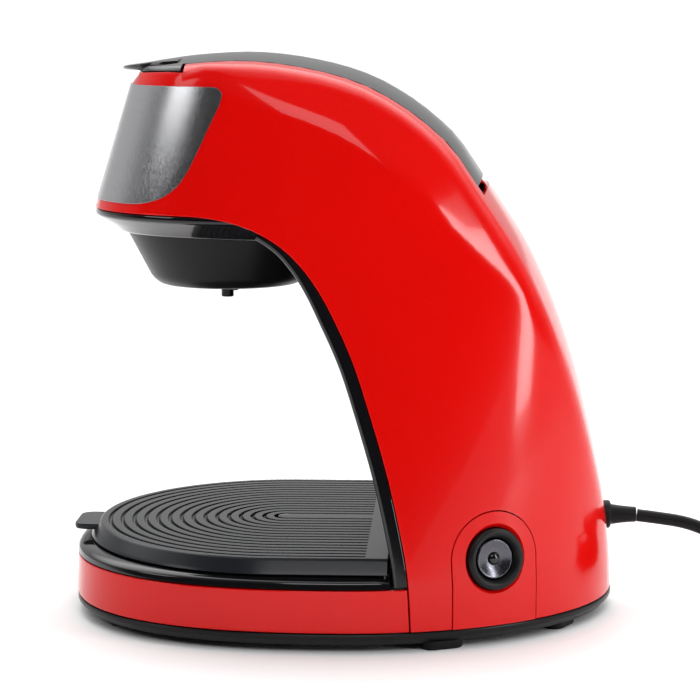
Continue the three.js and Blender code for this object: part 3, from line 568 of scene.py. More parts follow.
def insert_outline(radius, low):
    """Outline of the switch insert: round, with its foot on the rim."""
    arc = [(radius * math.cos(t), radius * math.sin(t)) for t in np.linspace(0, math.pi, 72)]
    return [(radius, low)] + arc + [(-radius, low)]


# ------------------------------------------------------------------ finishes
def new_group(name, inputs, outputs):
    """An empty shader node group with its sockets, and its input and output nodes."""
    tree = bpy.data.node_groups.new(name, "ShaderNodeTree")
    for label, kind, default in inputs:
        socket = tree.interface.new_socket(name=label, in_out="INPUT", socket_type=kind)
        socket.default_value = default
    for label, kind in outputs:
        tree.interface.new_socket(name=label, in_out="OUTPUT", socket_type=kind)
    return tree, tree.nodes.new("NodeGroupInput"), tree.nodes.new("NodeGroupOutput")


def add(tree, kind, **settings):
    """A node with its attributes, and the inputs named in `at`, set."""
    at = settings.pop("at", {})
    node = tree.nodes.new(kind)
    for key, value in settings.items():
        setattr(node, key, value)
    for key, value in at.items():
        if isinstance(value, bpy.types.NodeSocket):
            tree.links.new(value, node.inputs[key])
        else:
            node.inputs[key].default_value = value
    return node


def moulded_group():
    """Moulded plastic or rubber: mottled colour, uneven gloss and a fine grain."""
    tree, given, out = new_group("Moulded surface", [
        ("Color", "NodeSocketColor", (0.5, 0.5, 0.5, 1)),
        ("Mottle", "NodeSocketFloat", 0.04),
        ("Roughness", "NodeSocketFloat", 0.2),
        ("Haze", "NodeSocketFloat", 0.05),
        ("Grain size", "NodeSocketFloat", 900.0),
        ("Grain depth", "NodeSocketFloat", 0.02),
    ], [("Color", "NodeSocketColor"), ("Roughness", "NodeSocketFloat"), ("Normal", "NodeSocketVector")])
    place = add(tree, "ShaderNodeTexCoord").outputs["Object"]
    broad = add(tree, "ShaderNodeTexNoise", at={"Vector": place, "Scale": 14.0, "Detail": 4.0})
    fine = add(tree, "ShaderNodeTexNoise", at={
        "Vector": place, "Scale": given.outputs["Grain size"], "Detail": 3.0})
    swing = add(tree, "ShaderNodeMapRange", at={
        "Value": broad.outputs["Fac"], "From Min": 0.3, "From Max": 0.7, "To Min": -0.5, "To Max": 0.5})
    shade = add(tree, "ShaderNodeMath", operation="MULTIPLY_ADD", at={
        0: swing.outputs["Result"], 1: given.outputs["Mottle"], 2: 1.0})
    colour = add(tree, "ShaderNodeVectorMath", operation="SCALE", at={
        "Vector": given.outputs["Color"], "Scale": shade.outputs[0]})
    gloss = add(tree, "ShaderNodeMath", operation="MULTIPLY_ADD", at={
        0: swing.outputs["Result"], 1: given.outputs["Haze"], 2: given.outputs["Roughness"]})
    bump = add(tree, "ShaderNodeBump", at={
        "Strength": given.outputs["Grain depth"], "Distance": 0.0004, "Height": fine.outputs["Fac"]})
    tree.links.new(colour.outputs[0], out.inputs["Color"])
    tree.links.new(gloss.outputs[0], out.inputs["Roughness"])
    tree.links.new(bump.outputs[0], out.inputs["Normal"])
    return tree


def brushed_group():
    """Straight brushing: long strokes that change colour, gloss and height."""
    tree, given, out = new_group("Brushed strokes", [
        ("Color", "NodeSocketColor", (0.5, 0.5, 0.5, 1)),
        ("Contrast", "NodeSocketFloat", 0.3),
        ("Roughness", "NodeSocketFloat", 0.3),
        ("Stroke density", "NodeSocketVector", (2600.0, 2600.0, 18.0)),
        ("Stroke depth", "NodeSocketFloat", 0.1),
    ], [("Color", "NodeSocketColor"), ("Roughness", "NodeSocketFloat"), ("Normal", "NodeSocketVector")])
    place = add(tree, "ShaderNodeTexCoord").outputs["Object"]
    stretched = add(tree, "ShaderNodeVectorMath", operation="MULTIPLY", at={
        0: place, 1: given.outputs["Stroke density"]})
    strokes = add(tree, "ShaderNodeTexNoise", at={
        "Vector": stretched.outputs[0], "Scale": 1.0, "Detail": 4.0, "Roughness": 0.6})
    swing = add(tree, "ShaderNodeMapRange", at={
        "Value": strokes.outputs["Fac"], "From Min": 0.3, "From Max": 0.7, "To Min": -0.5, "To Max": 0.5})
    shade = add(tree, "ShaderNodeMath", operation="MULTIPLY_ADD", at={
        0: swing.outputs["Result"], 1: given.outputs["Contrast"], 2: 1.0})
    colour = add(tree, "ShaderNodeVectorMath", operation="SCALE", at={
        "Vector": given.outputs["Color"], "Scale": shade.outputs[0]})
    gloss = add(tree, "ShaderNodeMath", operation="MULTIPLY_ADD", at={
        0: swing.outputs["Result"], 1: 0.12, 2: given.outputs["Roughness"]})
    bump = add(tree, "ShaderNodeBump", at={
        "Strength": given.outputs["Stroke depth"], "Distance": 0.0002, "Height": strokes.outputs["Fac"]})
    tree.links.new(colour.outputs[0], out.inputs["Color"])
    tree.links.new(gloss.outputs[0], out.inputs["Roughness"])
    tree.links.new(bump.outputs[0], out.inputs["Normal"])
    return tree


def shared_group(name, make):
    return bpy.data.node_groups.get(name) or make()


def finish_material(name, group_name, values, **sockets):
    """A Principled material whose colour, gloss and normal come from a shared group."""
    if name in bpy.data.materials:
        return bpy.data.materials[name]
    material = bpy.data.materials.new(name)
    material.use_nodes = True
    tree = material.node_tree
    shader = tree.nodes["Principled BSDF"]
    makers = {"Moulded surface": moulded_group, "Brushed strokes": brushed_group}
    effect = tree.nodes.new("ShaderNodeGroup")
    effect.node_tree = shared_group(group_name, makers[group_name])
    for key, value in values.items():
        effect.inputs[key].default_value = value
    tree.links.new(effect.outputs["Color"], shader.inputs["Base Color"])
    tree.links.new(effect.outputs["Roughness"], shader.inputs["Roughness"])
    tree.links.new(effect.outputs["Normal"], shader.inputs["Normal"])
    for key, value in sockets.items():
        shader.inputs[key.replace("_", " ")].default_value = value
    return material


def moulded(name, colour, rough, mottle=0.04, haze=0.03, size=900.0, depth=0.02, **sockets):
    """A moulded plastic finish."""
    return finish_material(name, "Moulded surface", {
        "Color": (*colour, 1), "Mottle": mottle, "Roughness": rough, "Haze": haze,
        "Grain size": size, "Grain depth": depth}, **sockets)


def brushed(name, colour, rough, contrast=0.3, density=(2600.0, 2600.0, 18.0), depth=0.1, **sockets):
    """A brushed metal finish."""
    return finish_material(name, "Brushed strokes", {
        "Color": (*colour, 1), "Contrast": contrast, "Roughness": rough,
        "Stroke density": density, "Stroke depth": depth}, Metallic=1.0, **sockets)


def red_gloss(tints):
    """Shell and skirt."""
    return moulded("Red gloss shell", tuple(tints.shell_red), tints.shell_roughness, 0.05, 0.02, 260.0, 0.012,
                   Specular_IOR_Level=0.22, Coat_Weight=0.15, Coat_Roughness=0.03)


def black_gloss(tints):
    """Inner panel, tray and the lid's side band."""
    return moulded("Black gloss plastic", tuple(tints.gloss_black), 0.07, 0.1, 0.03, 300.0, 0.01)


def black_lid(tints):
    """Top of the lid."""
    return moulded("Black satin lid", tuple(tints.lid_black), 0.2, 0.15, 0.05, 1500.0, 0.04,
                   Specular_IOR_Level=0.24)


def black_satin(tints):
    """Rim, funnel and bezel."""
    return moulded("Black satin plastic", tuple(tints.satin_black), 0.33, 0.15, 0.06, 1800.0, 0.08,
                   Specular_IOR_Level=0.2)


def grate_plastic(tints):
    """Cup grate."""
    return moulded("Black grate plastic", tuple(tints.grate_black), 0.2, 0.15, 0.05, 1400.0, 0.04,
                   Specular_IOR_Level=0.24)


def plate_steel(tints):
    """Front plate."""
    return brushed("Brushed steel plate", tuple(tints.plate_steel), 0.2, 0.22, Anisotropic=0.6)


def polished_metal(tints):
    """Pins, screws and other small bright pieces."""
    return brushed("Polished metal", (0.62, 0.63, 0.65), 0.14, 0.06, (700.0, 700.0, 700.0), 0.02)


def button_metal(tints):
    """Push button."""
    return brushed("Dished metal button", tuple(tints.button_metal), 0.24, 0.1, (900.0, 900.0, 900.0), 0.03)


def cast_aluminium(tints):
    """Heater."""
    return brushed("Cast aluminium", (0.55, 0.56, 0.57), 0.45, 0.2, (500.0, 500.0, 500.0), 0.2)


def inner_plastic(tints):
    """Unseen mouldings."""
    return moulded("Dark inner plastic", (0.03, 0.03, 0.034), 0.5, 0.2, 0.08, 1500.0, 0.12)


def cord_rubber(tints):
    """Cord, sleeve, plug, tie and feet."""
    return moulded("Black cord rubber", tuple(tints.cord_black), 0.42, 0.2, 0.08, 1700.0, 0.12,
                   Specular_IOR_Level=0.15)


def milky_silicone(tints):
    """Hoses."""
    return moulded("Milky silicone", (0.70, 0.68, 0.62), 0.4, 0.06, 0.05, 900.0, 0.05, Subsurface_Weight=0.15)


def tank_plastic(tints):
    """Water tank."""
    return moulded("Milky tank plastic", (0.66, 0.68, 0.68), 0.32, 0.05, 0.05, 900.0, 0.04)


def woven_filter(tints):
    """Wall of the permanent filter."""
    return brushed("Woven filter", (0.55, 0.42, 0.14), 0.4, 0.6, (2600.0, 2600.0, 2600.0), 0.5)


FINISHES = {
    "red": red_gloss, "black": black_gloss, "lid": black_lid, "satin": black_satin, "grate": grate_plastic,
    "steel": plate_steel, "chrome": polished_metal, "button": button_metal, "aluminium": cast_aluminium,
    "inside": inner_plastic, "rubber": cord_rubber, "hose": milky_silicone, "tank": tank_plastic,
    "mesh": woven_filter,
}


def look(name):
    """The finish of that name, made when it is first asked for."""
    return FINISHES[name](bpy.context.scene.coffee_finish)


# ------------------------------------------------------------------ shell pieces
def shell_grid(rows, lean):
    """Section rows of the shell with shared columns; lean moves the split lines apart for the seam."""
    wide, shoulder, crown = 34, 9, 26
    grid = []
    for w in rows:
        line = section(w)
        arc = section_arc(line)
        lid, tongue, middle = crease_arcs(w)
        lid, tongue = lid + lean, tongue + lean
        half = np.concatenate([
            np.linspace(0, lid, wide, endpoint=False),
            np.linspace(lid, tongue, shoulder, endpoint=False),
            np.linspace(tongue, middle, crown + 1)])
        arcs = np.concatenate([half, arc[-1] - half[-2::-1]])
        grid.append(np.stack([np.interp(arcs, arc, line[:, k]) for k in range(3)], axis=1))
    return np.array(grid), wide, wide + shoulder


def grid_object(name, grid, keep):
    """A sheet over a grid of points; keep(row, column) says which cells it has."""
    rows, columns = grid.shape[:2]
    faces = []
    for i in range(rows - 1):
        for j in range(columns - 1):
            if keep(i, min(j, columns - 2 - j)):
                a = i * columns + j
                faces.append((a, a + 1, a + columns + 1, a + columns))
    obj = new_object(name, [tuple(p) for p in grid.reshape(-1, 3)], faces)
    tidy(obj)
    return obj


def outward(obj):
    """Turns an open sheet's faces away from the body's middle line."""
    mesh = obj.data
    total = 0.0
    for face in mesh.polygons:
        c = face.center
        total += face.normal.x * c.x * face.area
    if total < 0:
        mesh.flip_normals()


def make_housing():
    """The red C-shaped shell, open where the lid, the switch insert and the cord's sleeve sit."""
    sizes = bpy.context.scene.coffee_sizes
    back = np.linspace(0, BACK_END, 56)
    sides = np.linspace(BACK_END, STEP, 16)[1:]
    lower = np.linspace(STEP, 1, 52)[1:]
    nose = np.linspace(1, FRONT_RED, 8)[1:]
    tip = np.linspace(FRONT_RED, 2, 16)[1:]
    rows = np.concatenate([back, sides, lower, nose, tip])
    back_end, sides_end, nose_end = np.cumsum([len(back), len(sides), len(lower) + len(nose)]) - 1
    grid, wide, shoulder = shell_grid(rows, -sizes.seam / MM)

    def keep(i, j):
        if i < back_end or i >= nose_end:
            return True
        if i < sides_end:
            return j < shoulder
        return j < wide

    obj = grid_object("housing_shell", grid, keep)
    outward(obj)
    thicken(obj, sizes.wall / MM)
    round_edges(obj, 0.5, 2, 50)
    low = RIM_TOP - SWITCH_Z
    opening = insert_outline(INSERT_RADIUS + 2 * sizes.seam / MM, low - 6)
    cut(obj, slab("cutter", opening, -14, 20, 0, SWITCH))
    loops = [[(CORD_HOLE * math.cos(t), y, CORD_Z + CORD_HOLE * math.sin(t)) for t in ring_points(48)]
             for y in (100, 145)]
    cut(obj, skin_solid("cutter", loops))
    return settle(obj, "housing", "red", look("red"), "main_housing", angle=30)


# Upper edge of the lid's gloss side band, as (y, height).
LID_BAND = np.array([
    (-110, 250.6), (-81, 250.6), (-59.4, 250.9), (-46.4, 249.6), (-33.5, 248.2), (-20, 246), (-7.7, 243.0),
    (5.2, 238.6), (13.8, 234.9), (26.7, 227.6), (35.4, 221.3), (44, 214.6), (49.6, 207.6), (51, 190),
    (70, 150)])
LIP_SECTION = ((0.55, 1), (0.8, 1), (0.95, 1), (0.985, 0.9), (1.0, 0.55), (0.995, 0.2), (0.97, 0),
               (0.75, 0), (0.55, 0))
LIP_TOP = ((-102, 247.9), (-99, 248.8), (-87.5, 250.4), (-84, 250.9), (-70, 252.2))
LIP_FOOT = 247
GLOSS_TIP = -88.5      # in front of this the whole lid is gloss


def lid_lip():
    """The finger lip: a flat crescent past the lid's front edge."""
    loops = []
    for t in np.linspace(math.pi * 1.02, math.pi * 1.98, 72):
        loop = []
        for share, up in LIP_SECTION:
            x, y = 36 * share * math.cos(t), -70 + 31 * share * math.sin(t)
            top = float(np.interp(y, *zip(*LIP_TOP)))
            loop.append((x, y, LIP_FOOT + (top - LIP_FOOT) * up))
        loops.append(loop)
    return skin_solid("lip", loops)


def hinge_lug(side):
    """One of the two lugs that carry the lid on its pins."""
    y, z = HINGE
    hub = [(y + 4 * math.cos(t), z + 4 * math.sin(t)) for t in np.linspace(math.pi * 0.95, TAU + 0.2, 24)]
    outline = hub + [(y + 2.6, z + 6.9), (y - 3, z + 10.7), (y - 8, z + 13.9), (y - 8.4, z + 8.5)]
    place = Matrix(((0, 0, 1, 0), (1, 0, 0, 0), (0, 1, 0, 0), (0, 0, 0, 1)))
    low, high = sorted((LUG_FROM * side, LUG_TO * side))
    return slab("lug", outline, low, high, 0.3, place)


def make_lid():
    """The lid with its tongue, lip and lugs: satin above, gloss along the side band and the tip."""
    tongue_rows = np.linspace(LID_END, STEP + 0.004, 20)
    main_rows = np.linspace(STEP + 0.004, 1, 56)[1:]
    nose_rows = np.linspace(1, FRONT_LID, 8)[1:]
    rows = np.concatenate([tongue_rows, main_rows, nose_rows])
    grid, wide, shoulder = shell_grid(rows, bpy.context.scene.coffee_sizes.seam / MM)
    tongue_end = len(tongue_rows) - 1

    def keep(i, j):
        return j >= shoulder if i < tongue_end else j >= wide

    shell = grid_object("lid", grid, keep)
    outward(shell)
    thicken(shell, 2.3)
    round_edges(shell, 0.6, 3, 50)
    lid = join([shell, lid_lip(), hinge_lug(-1), hinge_lug(1)], "lid_cover")
    settle(lid, "lid", "black", look("lid"), "lid_shell")
    lid.data.materials.append(look("black"))
    for face in lid.data.polygons:
        c = face.center
        edge = np.interp(c.y / MM - SHIFT_Y, LID_BAND[:, 0], LID_BAND[:, 1])
        if c.z / MM < edge or c.y / MM < GLOSS_TIP:
            face.material_index = 1
    return lid


def bezier(points, count):
    """Points on the curve that a row of control points gives."""
    out = []
    for t in np.linspace(0, 1, count):
        level = [np.array(p, float) for p in points]
        while len(level) > 1:
            level = [a + (b - a) * t for a, b in zip(level, level[1:])]
        out.append(level[0])
    return out


def plate_edge():
    """Rear edge of the steel plate as (y, height), upwards."""
    line = bezier([(-92, 189.6), (-72, 190.4), (-66.5, 200.5), (-61.5, 211)], 22)
    line += [np.array(p) for p in np.linspace((-61.5, 211), (-50.4, 234.3), 18)[1:]]
    line += bezier([(-50.4, 234.3), (-48.4, 240.6), (-54.5, 240.8)], 12)[1:]
    return np.array(line)


PLATE_PROUD = 0.4
PLATE_THICKNESS = 0.9


def make_plate():
    """The brushed steel plate round the front of the head."""
    grid = []
    for y_edge, z in plate_edge():
        angles = np.linspace(1.5 * math.pi - 1.2, 1.5 * math.pi + 1.2, 900)
        power = 2 / FRONT_POWER
        half, reach = plan_half(z) + PLATE_PROUD, plan_front(z) + PLATE_PROUD
        x = half * np.sign(np.cos(angles)) * np.abs(np.cos(angles)) ** power
        y = -reach * np.abs(np.sin(angles)) ** power
        line = np.stack([x, y, np.full_like(x, z)], axis=1)[::-1]
        right = int(np.argmin(np.abs(line[:, 1] - y_edge) + 1000 * (line[:, 0] < 0)))
        grid.append(resample(line[right:len(line) - right], 90))
    obj = grid_object("plate", np.array(grid), lambda i, j: True)
    outward_front(obj)
    thicken(obj, PLATE_THICKNESS)
    round_edges(obj, 0.22, 2, 50)
    return settle(obj, "housing", "steel", look("steel"), "front_plate")


def outward_front(obj):
    """Turns a sheet that wraps round the front away from the body's middle."""
    mesh = obj.data
    total = 0.0
    for face in mesh.polygons:
        c = face.center
        total += (face.normal.x * c.x + face.normal.y * (c.y + 0.03)) * face.area
    if total < 0:
        mesh.flip_normals()


# ------------------------------------------------------------------ spine and pan
SPINE_START, SPINE_END = 0.075, 0.70    # shares along the inner arch
SPINE_CORNER = 1.7
SPINE_SKIN = 2.6
SPINE_INSET = 0.3


def band_depth(share):
    """How far the panel stands out of the arch: deep along the spine, thin under the head."""
    return 6.5 - 3.5 * ease(share, 0.5, 0.72)


def spine_loop(share):
    """Section of the inner panel at a share of the arch."""
    p, t = ARCH.at(share), ARCH.tangent(share)
    into = np.array([t[1], -t[0]])
    depth = band_depth(share)

    def spot(d, drop):
        y, z = p + into * d
        return (side_at(y, z) - SPINE_INSET - drop, y, z)

    right = [spot(-0.35, 2.8), spot(-0.35, 0.5), spot(-0.7, 0.06), spot(-1.2, 0)]
    for a in np.linspace(0, math.pi / 2, 7):
        drop = SPINE_CORNER * (1 - math.cos(a))
        right.append(spot(SPINE_CORNER * (1 - math.sin(a)) - depth, drop))
    edge = right[-1][0]
    y, z = p - into * depth
    right += [(edge * inward, y, z) for inward in (0.97, 0.9, 0.75, 0.5, 0.25)]
    y_in, z_in = p + into * (SPINE_SKIN - depth)
    inner = right[0][0] * 0.9
    left = [(-x, y_left, z_left) for x, y_left, z_left in right[::-1]]
    return right + [(0, y, z)] + left + [(-inner, y_in, z_in), (0, y_in, z_in), (inner, y_in, z_in)]


def make_spine():
    """Gloss black panel along the inside of the arch, with the pan under the head."""
    spine = skin_solid("spine", [spine_loop(share) for share in np.linspace(SPINE_START, SPINE_END, 90)])
    obj = join([spine, make_pan()], "inner_spine")
    return settle(obj, "housing", "black", look("black"), "inner_panel", angle=38)


def plan_reach(centre_y, angle, z, inset, rear_limit=None):
    """Distance from (0, centre_y) to the plan's outline, or to a rear limit before it."""
    c, s = math.cos(angle), math.sin(angle)
    low, high = 0.0, 240.0
    for _ in range(40):
        middle = (low + high) / 2
        x, y = middle * c, centre_y + middle * s
        reach = (plan_front(z) if y < 0 else BASE_REACH) - inset
        power = FRONT_POWER if y < 0 else REAR_POWER
        inside = (abs(x) / (plan_half(z) - inset)) ** power + (abs(y) / reach) ** power < 1
        if inside and (rear_limit is None or y < rear_limit):
            low = middle
        else:
            high = middle
    return low


PAN_REAR = 3.0
PAN_HOLE = 47.5


def make_pan():
    """The shallow pan under the head, with the funnel's round opening."""
    top = HEAD_BOTTOM - 0.35
    levels = [(top, 3.2), (top, 0.9), (top - 0.3, 0.45), (top - 0.9, 0.3), (top - 2.0, 0.3), (top - 2.6, 0.6),
              (top - 3.4, 1.7), (178.2, 8.2), (175.6, 11.2), (174.7, 12.9), (174.5, 15)]
    loops = []
    for angle in ring_points(144):
        c, s = math.cos(angle), math.sin(angle)
        rear = (PAN_REAR - FUNNEL_Y) / s if s > 0 else math.inf
        loop = []
        for z, inset in levels:
            r = max(min(plan_reach(FUNNEL_Y, angle, z, inset), rear), 48.4)
            loop.append((r * c, FUNNEL_Y + r * s, z))
        loop += [(PAN_HOLE * c, FUNNEL_Y + PAN_HOLE * s, z) for z in (174.5, 176.6)]
        r = max(min(plan_reach(FUNNEL_Y, angle, 178.2, 8.2), rear) - 3, 48)
        loop.append((r * c, FUNNEL_Y + r * s, 178.6))
        loops.append(loop)
    count = len(loops[0])
    points = [p for loop in loops for p in loop]
    faces = sheet_faces(len(loops), count, closed=True)
    last = (len(loops) - 1) * count
    faces += [(last + j, last + (j + 1) % count, (j + 1) % count, j) for j in range(count)]
    obj = new_object("pan", points, faces)
    tidy(obj)
    return obj


# ------------------------------------------------------------------ base
def arch_y(z):
    """Place of the inner arch at a height."""
    order = np.argsort(ARCH.line[:, 1])
    return float(np.interp(z, ARCH.line[order, 1], ARCH.line[order, 0]))


def make_rim():
    """Black rim and underside of the base."""
    levels = [(RIM_TOP - 0.35, 5.5), (RIM_TOP - 0.35, 0.9), (RIM_TOP - 0.5, 0.35), (RIM_TOP - 1.1, 0.05),
              (6.6, 0.1), (6.1, 0.35), (5.6, 0.8), (3.8, 2.5), (3.3, 3.1), (FOOT_TOP, 4.0), (FOOT_TOP, 60)]
    loops = [[(x, y, z) for x, y in plan_outline(z, inset, None, 256)] for z, inset in levels]
    settle(skin_solid("rim", loops), "housing", "satin", look("satin"), "base_plate", angle=28)


def make_skirt():
    """Red band round the front of the base."""
    grid = []
    for z in [RIM_TOP, 9.6, 11, 14, 17, 20, 23, 25.5, 27.1, SKIRT_TOP]:
        inset = float(np.interp(z, [RIM_TOP, RIM_TOP + 2, SKIRT_TOP], [0.3, 0, 0.5]))
        line = plan_outline(z, inset, arch_y(z) - 0.65, 220)
        grid.append([(x, y, z) for x, y in line])
    skirt = grid_object("skirt", np.array(grid), lambda i, j: True)
    outward_front(skirt)
    thicken(skirt, bpy.context.scene.coffee_sizes.wall / MM)
    round_edges(skirt, 0.45, 3, 50)
    settle(skirt, "housing", "red", look("red"), "base_skirt")


FOOT_PLACES = {"front": (46, -100.5), "side": (82, 46), "rear": (42, 98)}
FOOT_HALF, FOOT_REACH = 5.0, 4.5


def make_feet():
    """Six rubber pads, long across the rim."""
    end = [(FOOT_REACH + FOOT_HALF * math.cos(t), FOOT_HALF * math.sin(t))
           for t in np.linspace(-math.pi / 2, math.pi / 2, 16)]
    oval = end + [(-a, -b) for a, b in end]
    for where, (reach, y) in FOOT_PLACES.items():
        for hand, x in (("right", reach), ("left", -reach)):
            slope = math.atan2(y / BASE_REACH, x / BASE_HALF) + math.pi / 2
            c, s = math.cos(slope), math.sin(slope)
            outline = [(x + a * c - b * s, y + a * s + b * c) for a, b in oval]
            pad = slab(f"pad_{where}_{hand}", outline, 0, FOOT_TOP + 0.85, 0.7)
            settle(pad, "housing", "rubber", look("rubber"), f"foot_{where}_{hand}")


def make_base():
    """Rim, skirt and feet."""
    make_rim()
    make_skirt()
    make_feet()


def make_tray():
    """Ledge round the grate and the bowl under it."""
    ledge = [(SKIRT_TOP + 0.4, 3.4), (SKIRT_TOP + 0.4, 0.9), (SKIRT_TOP + 0.75, 0.45), (30.2, 0.5),
             (30.9, 0.75), (31.6, 1.5), (32.15, 2.6), (32.45, 4.2), (32.6, 6.5)]
    bowl = [(32.6, 84.5, 17.5), (32.3, 83.4, 16.4), (31.6, 83, 16), (22, 82, 15), (19.6, 80.5, 13.5),
            (19.0, 78, 11), (18.8, 40, 5), (18.7, 4, 0.5)]
    angles = ring_points(240)
    loops = []
    for z, inset in ledge:
        limit = arch_y(z) - 7.2 - inset
        reaches = [plan_reach(GRATE_CENTRE, t, z, inset, limit) for t in angles]
        loops.append([(r * math.cos(t), GRATE_CENTRE + r * math.sin(t), z) for r, t in zip(reaches, angles)])
    for z, radius, rear in bowl:
        reaches = [bowl_reach(t, radius, rear) for t in angles]
        loops.append([(r * math.cos(t), GRATE_CENTRE + r * math.sin(t), z) for r, t in zip(reaches, angles)])
    obj = skin_solid("tray", loops, (False, True))
    mesh = obj.data
    if sum(face.normal.z * face.area for face in mesh.polygons) < 0:
        mesh.flip_normals()
    thicken(obj, 1.6)
    return settle(obj, "housing", "black", look("black"), "stand_tray", angle=30)


def bowl_reach(angle, radius, rear):
    """Distance from the grate's centre to a half circle with straight sides."""
    c, s = math.cos(angle), math.sin(angle)
    if s <= 0:
        return radius
    side = radius / max(abs(c), 1e-6)
    back = (rear - GRATE_CENTRE) / s
    return min(side, back)


def grate_path(r, ends):
    """Points at distance r from the grate's middle line: up one side, round the front, down the other."""
    right = [(r, y) for y in ends]
    arc = [(r * math.cos(t), GRATE_CENTRE - r * math.sin(t)) for t in np.linspace(0, math.pi, 97)]
    left = [(-r, y) for y in ends[::-1]]
    return right + arc + left


# Half of a groove's section, from its floor outwards: distance from the middle, and share of the depth.
GROOVE_HALF = ((0.3, 0.98), (0.62, 0.82), (0.86, 0.3), (1.02, 0.04), (1.25, 0))


def groove_section():
    """A groove's whole section from its half."""
    return [(-d, fall) for d, fall in GROOVE_HALF[::-1]] + [(0, 1.0)] + list(GROOVE_HALF)


def make_grate():
    """Grooved plate with its flared rim, underside and finger tab."""
    ends = [GRATE_REAR, 18, 13.9, GROOVE_END, 12.8, 12.5, 6, 0, -7, -14, -21]
    rows = [(0.0, 0.0)]
    for i in range(1, GROOVES + 1):
        rows += [(i * GROOVE_PITCH + offset, fall * GROOVE_DEPTH) for offset, fall in groove_section()]
    grid = []
    for r, fall in rows:
        grid.append([(x, y, GRATE_TOP - (0.0 if y > GROOVE_END - 0.05 else fall))
                     for x, y in grate_path(r, ends)])
    rim = [(85.6, GRATE_TOP), (86.3, GRATE_TOP - 0.1), (86.9, GRATE_TOP - 0.5), (87.25, GRATE_TOP - 1.0),
           (90.2, 34.9), (90.75, 34.0), (91.0, 33.6), (90.9, 33.3), (90.6, 33.2), (89.0, 33.2), (88.6, 33.6),
           (84.6, 37.0), (60, 37.0), (30, 37.0), (0, 37.0)]
    for r, z in rim:
        grid.append([(x, y, z) for x, y in grate_path(r, ends)])
    grid = np.array(grid)
    count, columns = grid.shape[:2]
    faces = sheet_faces(count, columns)
    faces.append(tuple(i * columns for i in range(count)))
    faces.append(tuple(i * columns + columns - 1 for i in range(count))[::-1])
    plate = new_object("grate_body", [tuple(p) for p in grid.reshape(-1, 3)], faces)
    tidy(plate, 2e-6)
    corners = [(-TAB_HALF, -108), (-TAB_HALF, TAB_TIP), (TAB_HALF, TAB_TIP), (TAB_HALF, -108)]
    tab = slab("tab", rounded(corners, 6.5, 8), 35.1, 37.8, 0.8)
    grate = join([plate, tab], "cup_grate")
    return settle(grate, "grate", "black", look("grate"), "drip_grate", angle=30)


# ------------------------------------------------------------------ funnel
# Profiles of turned pieces: (radius, height).
FUNNEL = [
    (0, 149.6), (28, 149.6), (31.8, 149.6), (35.6, 152.6), (47.3, 175.1), (47.3, 178), (33.5, 180),
    (33.5, 232), (34.9, 232), (34.9, 233.8), (31.3, 233.8), (31.3, 177.6), (44.1, 175.8), (44.5, 175.1),
    (33.6, 154.2), (31, 151.8), (0, 151.8)]
OUTLET = [
    (1.3, 144.3), (1.7, 144.2), (2.5, 144.2), (2.8, 144.5), (2.8, 149.2), (4.2, 152.2), (4.2, 153.2),
    (1.3, 153.2), (1.3, 144.3)]


def make_funnel():
    """The brew funnel and its two outlets."""
    profile = fillet(FUNNEL, {2: 1.6, 3: 2.6, 5: 1.0, 14: 2.0, 15: 2.0}, 7)
    funnel = turned("funnel", profile, 0, FUNNEL_Y, 128)
    settle(funnel, "housing", "satin", look("satin"), "brew_funnel", angle=28)
    for hand, x in (("left", -OUTLET_X), ("right", OUTLET_X)):
        spout = turned(f"spout_{hand}", OUTLET, x, FUNNEL_Y, 40)
        settle(spout, "housing", "satin", look("satin"), f"drip_outlet_{hand}", angle=35)


# ------------------------------------------------------------------ switch
def make_insert():
    """Red insert round the switch, with its flared recess."""
    ys = np.linspace(44, 95, 40)
    zs = np.linspace(RIM_TOP + 0.02, 62, 40)
    grid = np.array([[(side_at(y, z), y, z) for y in ys] for z in zs])
    patch = grid_object("insert", grid, lambda i, j: True)
    outward(patch)
    thicken(patch, bpy.context.scene.coffee_sizes.wall / MM)
    low = RIM_TOP - SWITCH_Z
    cut(patch, slab("cutter", insert_outline(INSERT_RADIUS, low - 0.5), -14, 20, 0, SWITCH), "INTERSECT")
    cone = [(0, -12), (BEZEL_RADIUS + 0.35, -12), (BEZEL_RADIUS + 0.35, -1.6), (RECESS_RADIUS - 0.3, 0.0),
            (RECESS_RADIUS + 0.6, 0.5), (RECESS_RADIUS + 5, 5), (0, 5)]
    cut(patch, turned("cutter", fillet(cone, {3: 0.8}, 5), 0, 0, 96, SWITCH))
    settle(patch, "housing", "red", look("red"), "switch_insert", angle=28)


def make_switch():
    """The insert, the bezel, and the dished button with its domed middle."""
    make_insert()
    bezel = [(9.2, -9), (BEZEL_RADIUS, -9), (BEZEL_RADIUS, 0.5), (BEZEL_RADIUS - 0.9, 1.4),
             (BEZEL_RADIUS - 2.9, 1.4), (9.7, -0.3), (9.2, -1.3), (9.2, -9)]
    ring = turned("bezel_ring", fillet(bezel, {2: 0.9, 3: 0.9, 4: 1.4, 5: 0.6}, 6), 0, 0, 96, SWITCH)
    settle(ring, "housing", "black", look("satin"), "switch_bezel", angle=32)
    dish = [(2.95, -7), (8.8, -7), (8.8, -1.1), (8.3, -0.6), (7.6, -0.75), (6, -1.35), (4.4, -1.75),
            (2.95, -1.9), (2.95, -7)]
    cap = turned("button_cap", fillet(dish, {2: 0.4, 3: 0.4}, 5), 0, 0, 96, SWITCH)
    settle(cap, "button", "chrome", look("button"), "switch_button", angle=32)
    dome = [(0, -7), (2.6, -7), (2.6, -1.5), (2.3, -0.95), (1.7, -0.62), (0.9, -0.45), (0, -0.4)]
    middle = turned("button_centre", dome, 0, 0, 48, SWITCH)
    settle(middle, "button", "black", look("black"), "button_dome", angle=45)


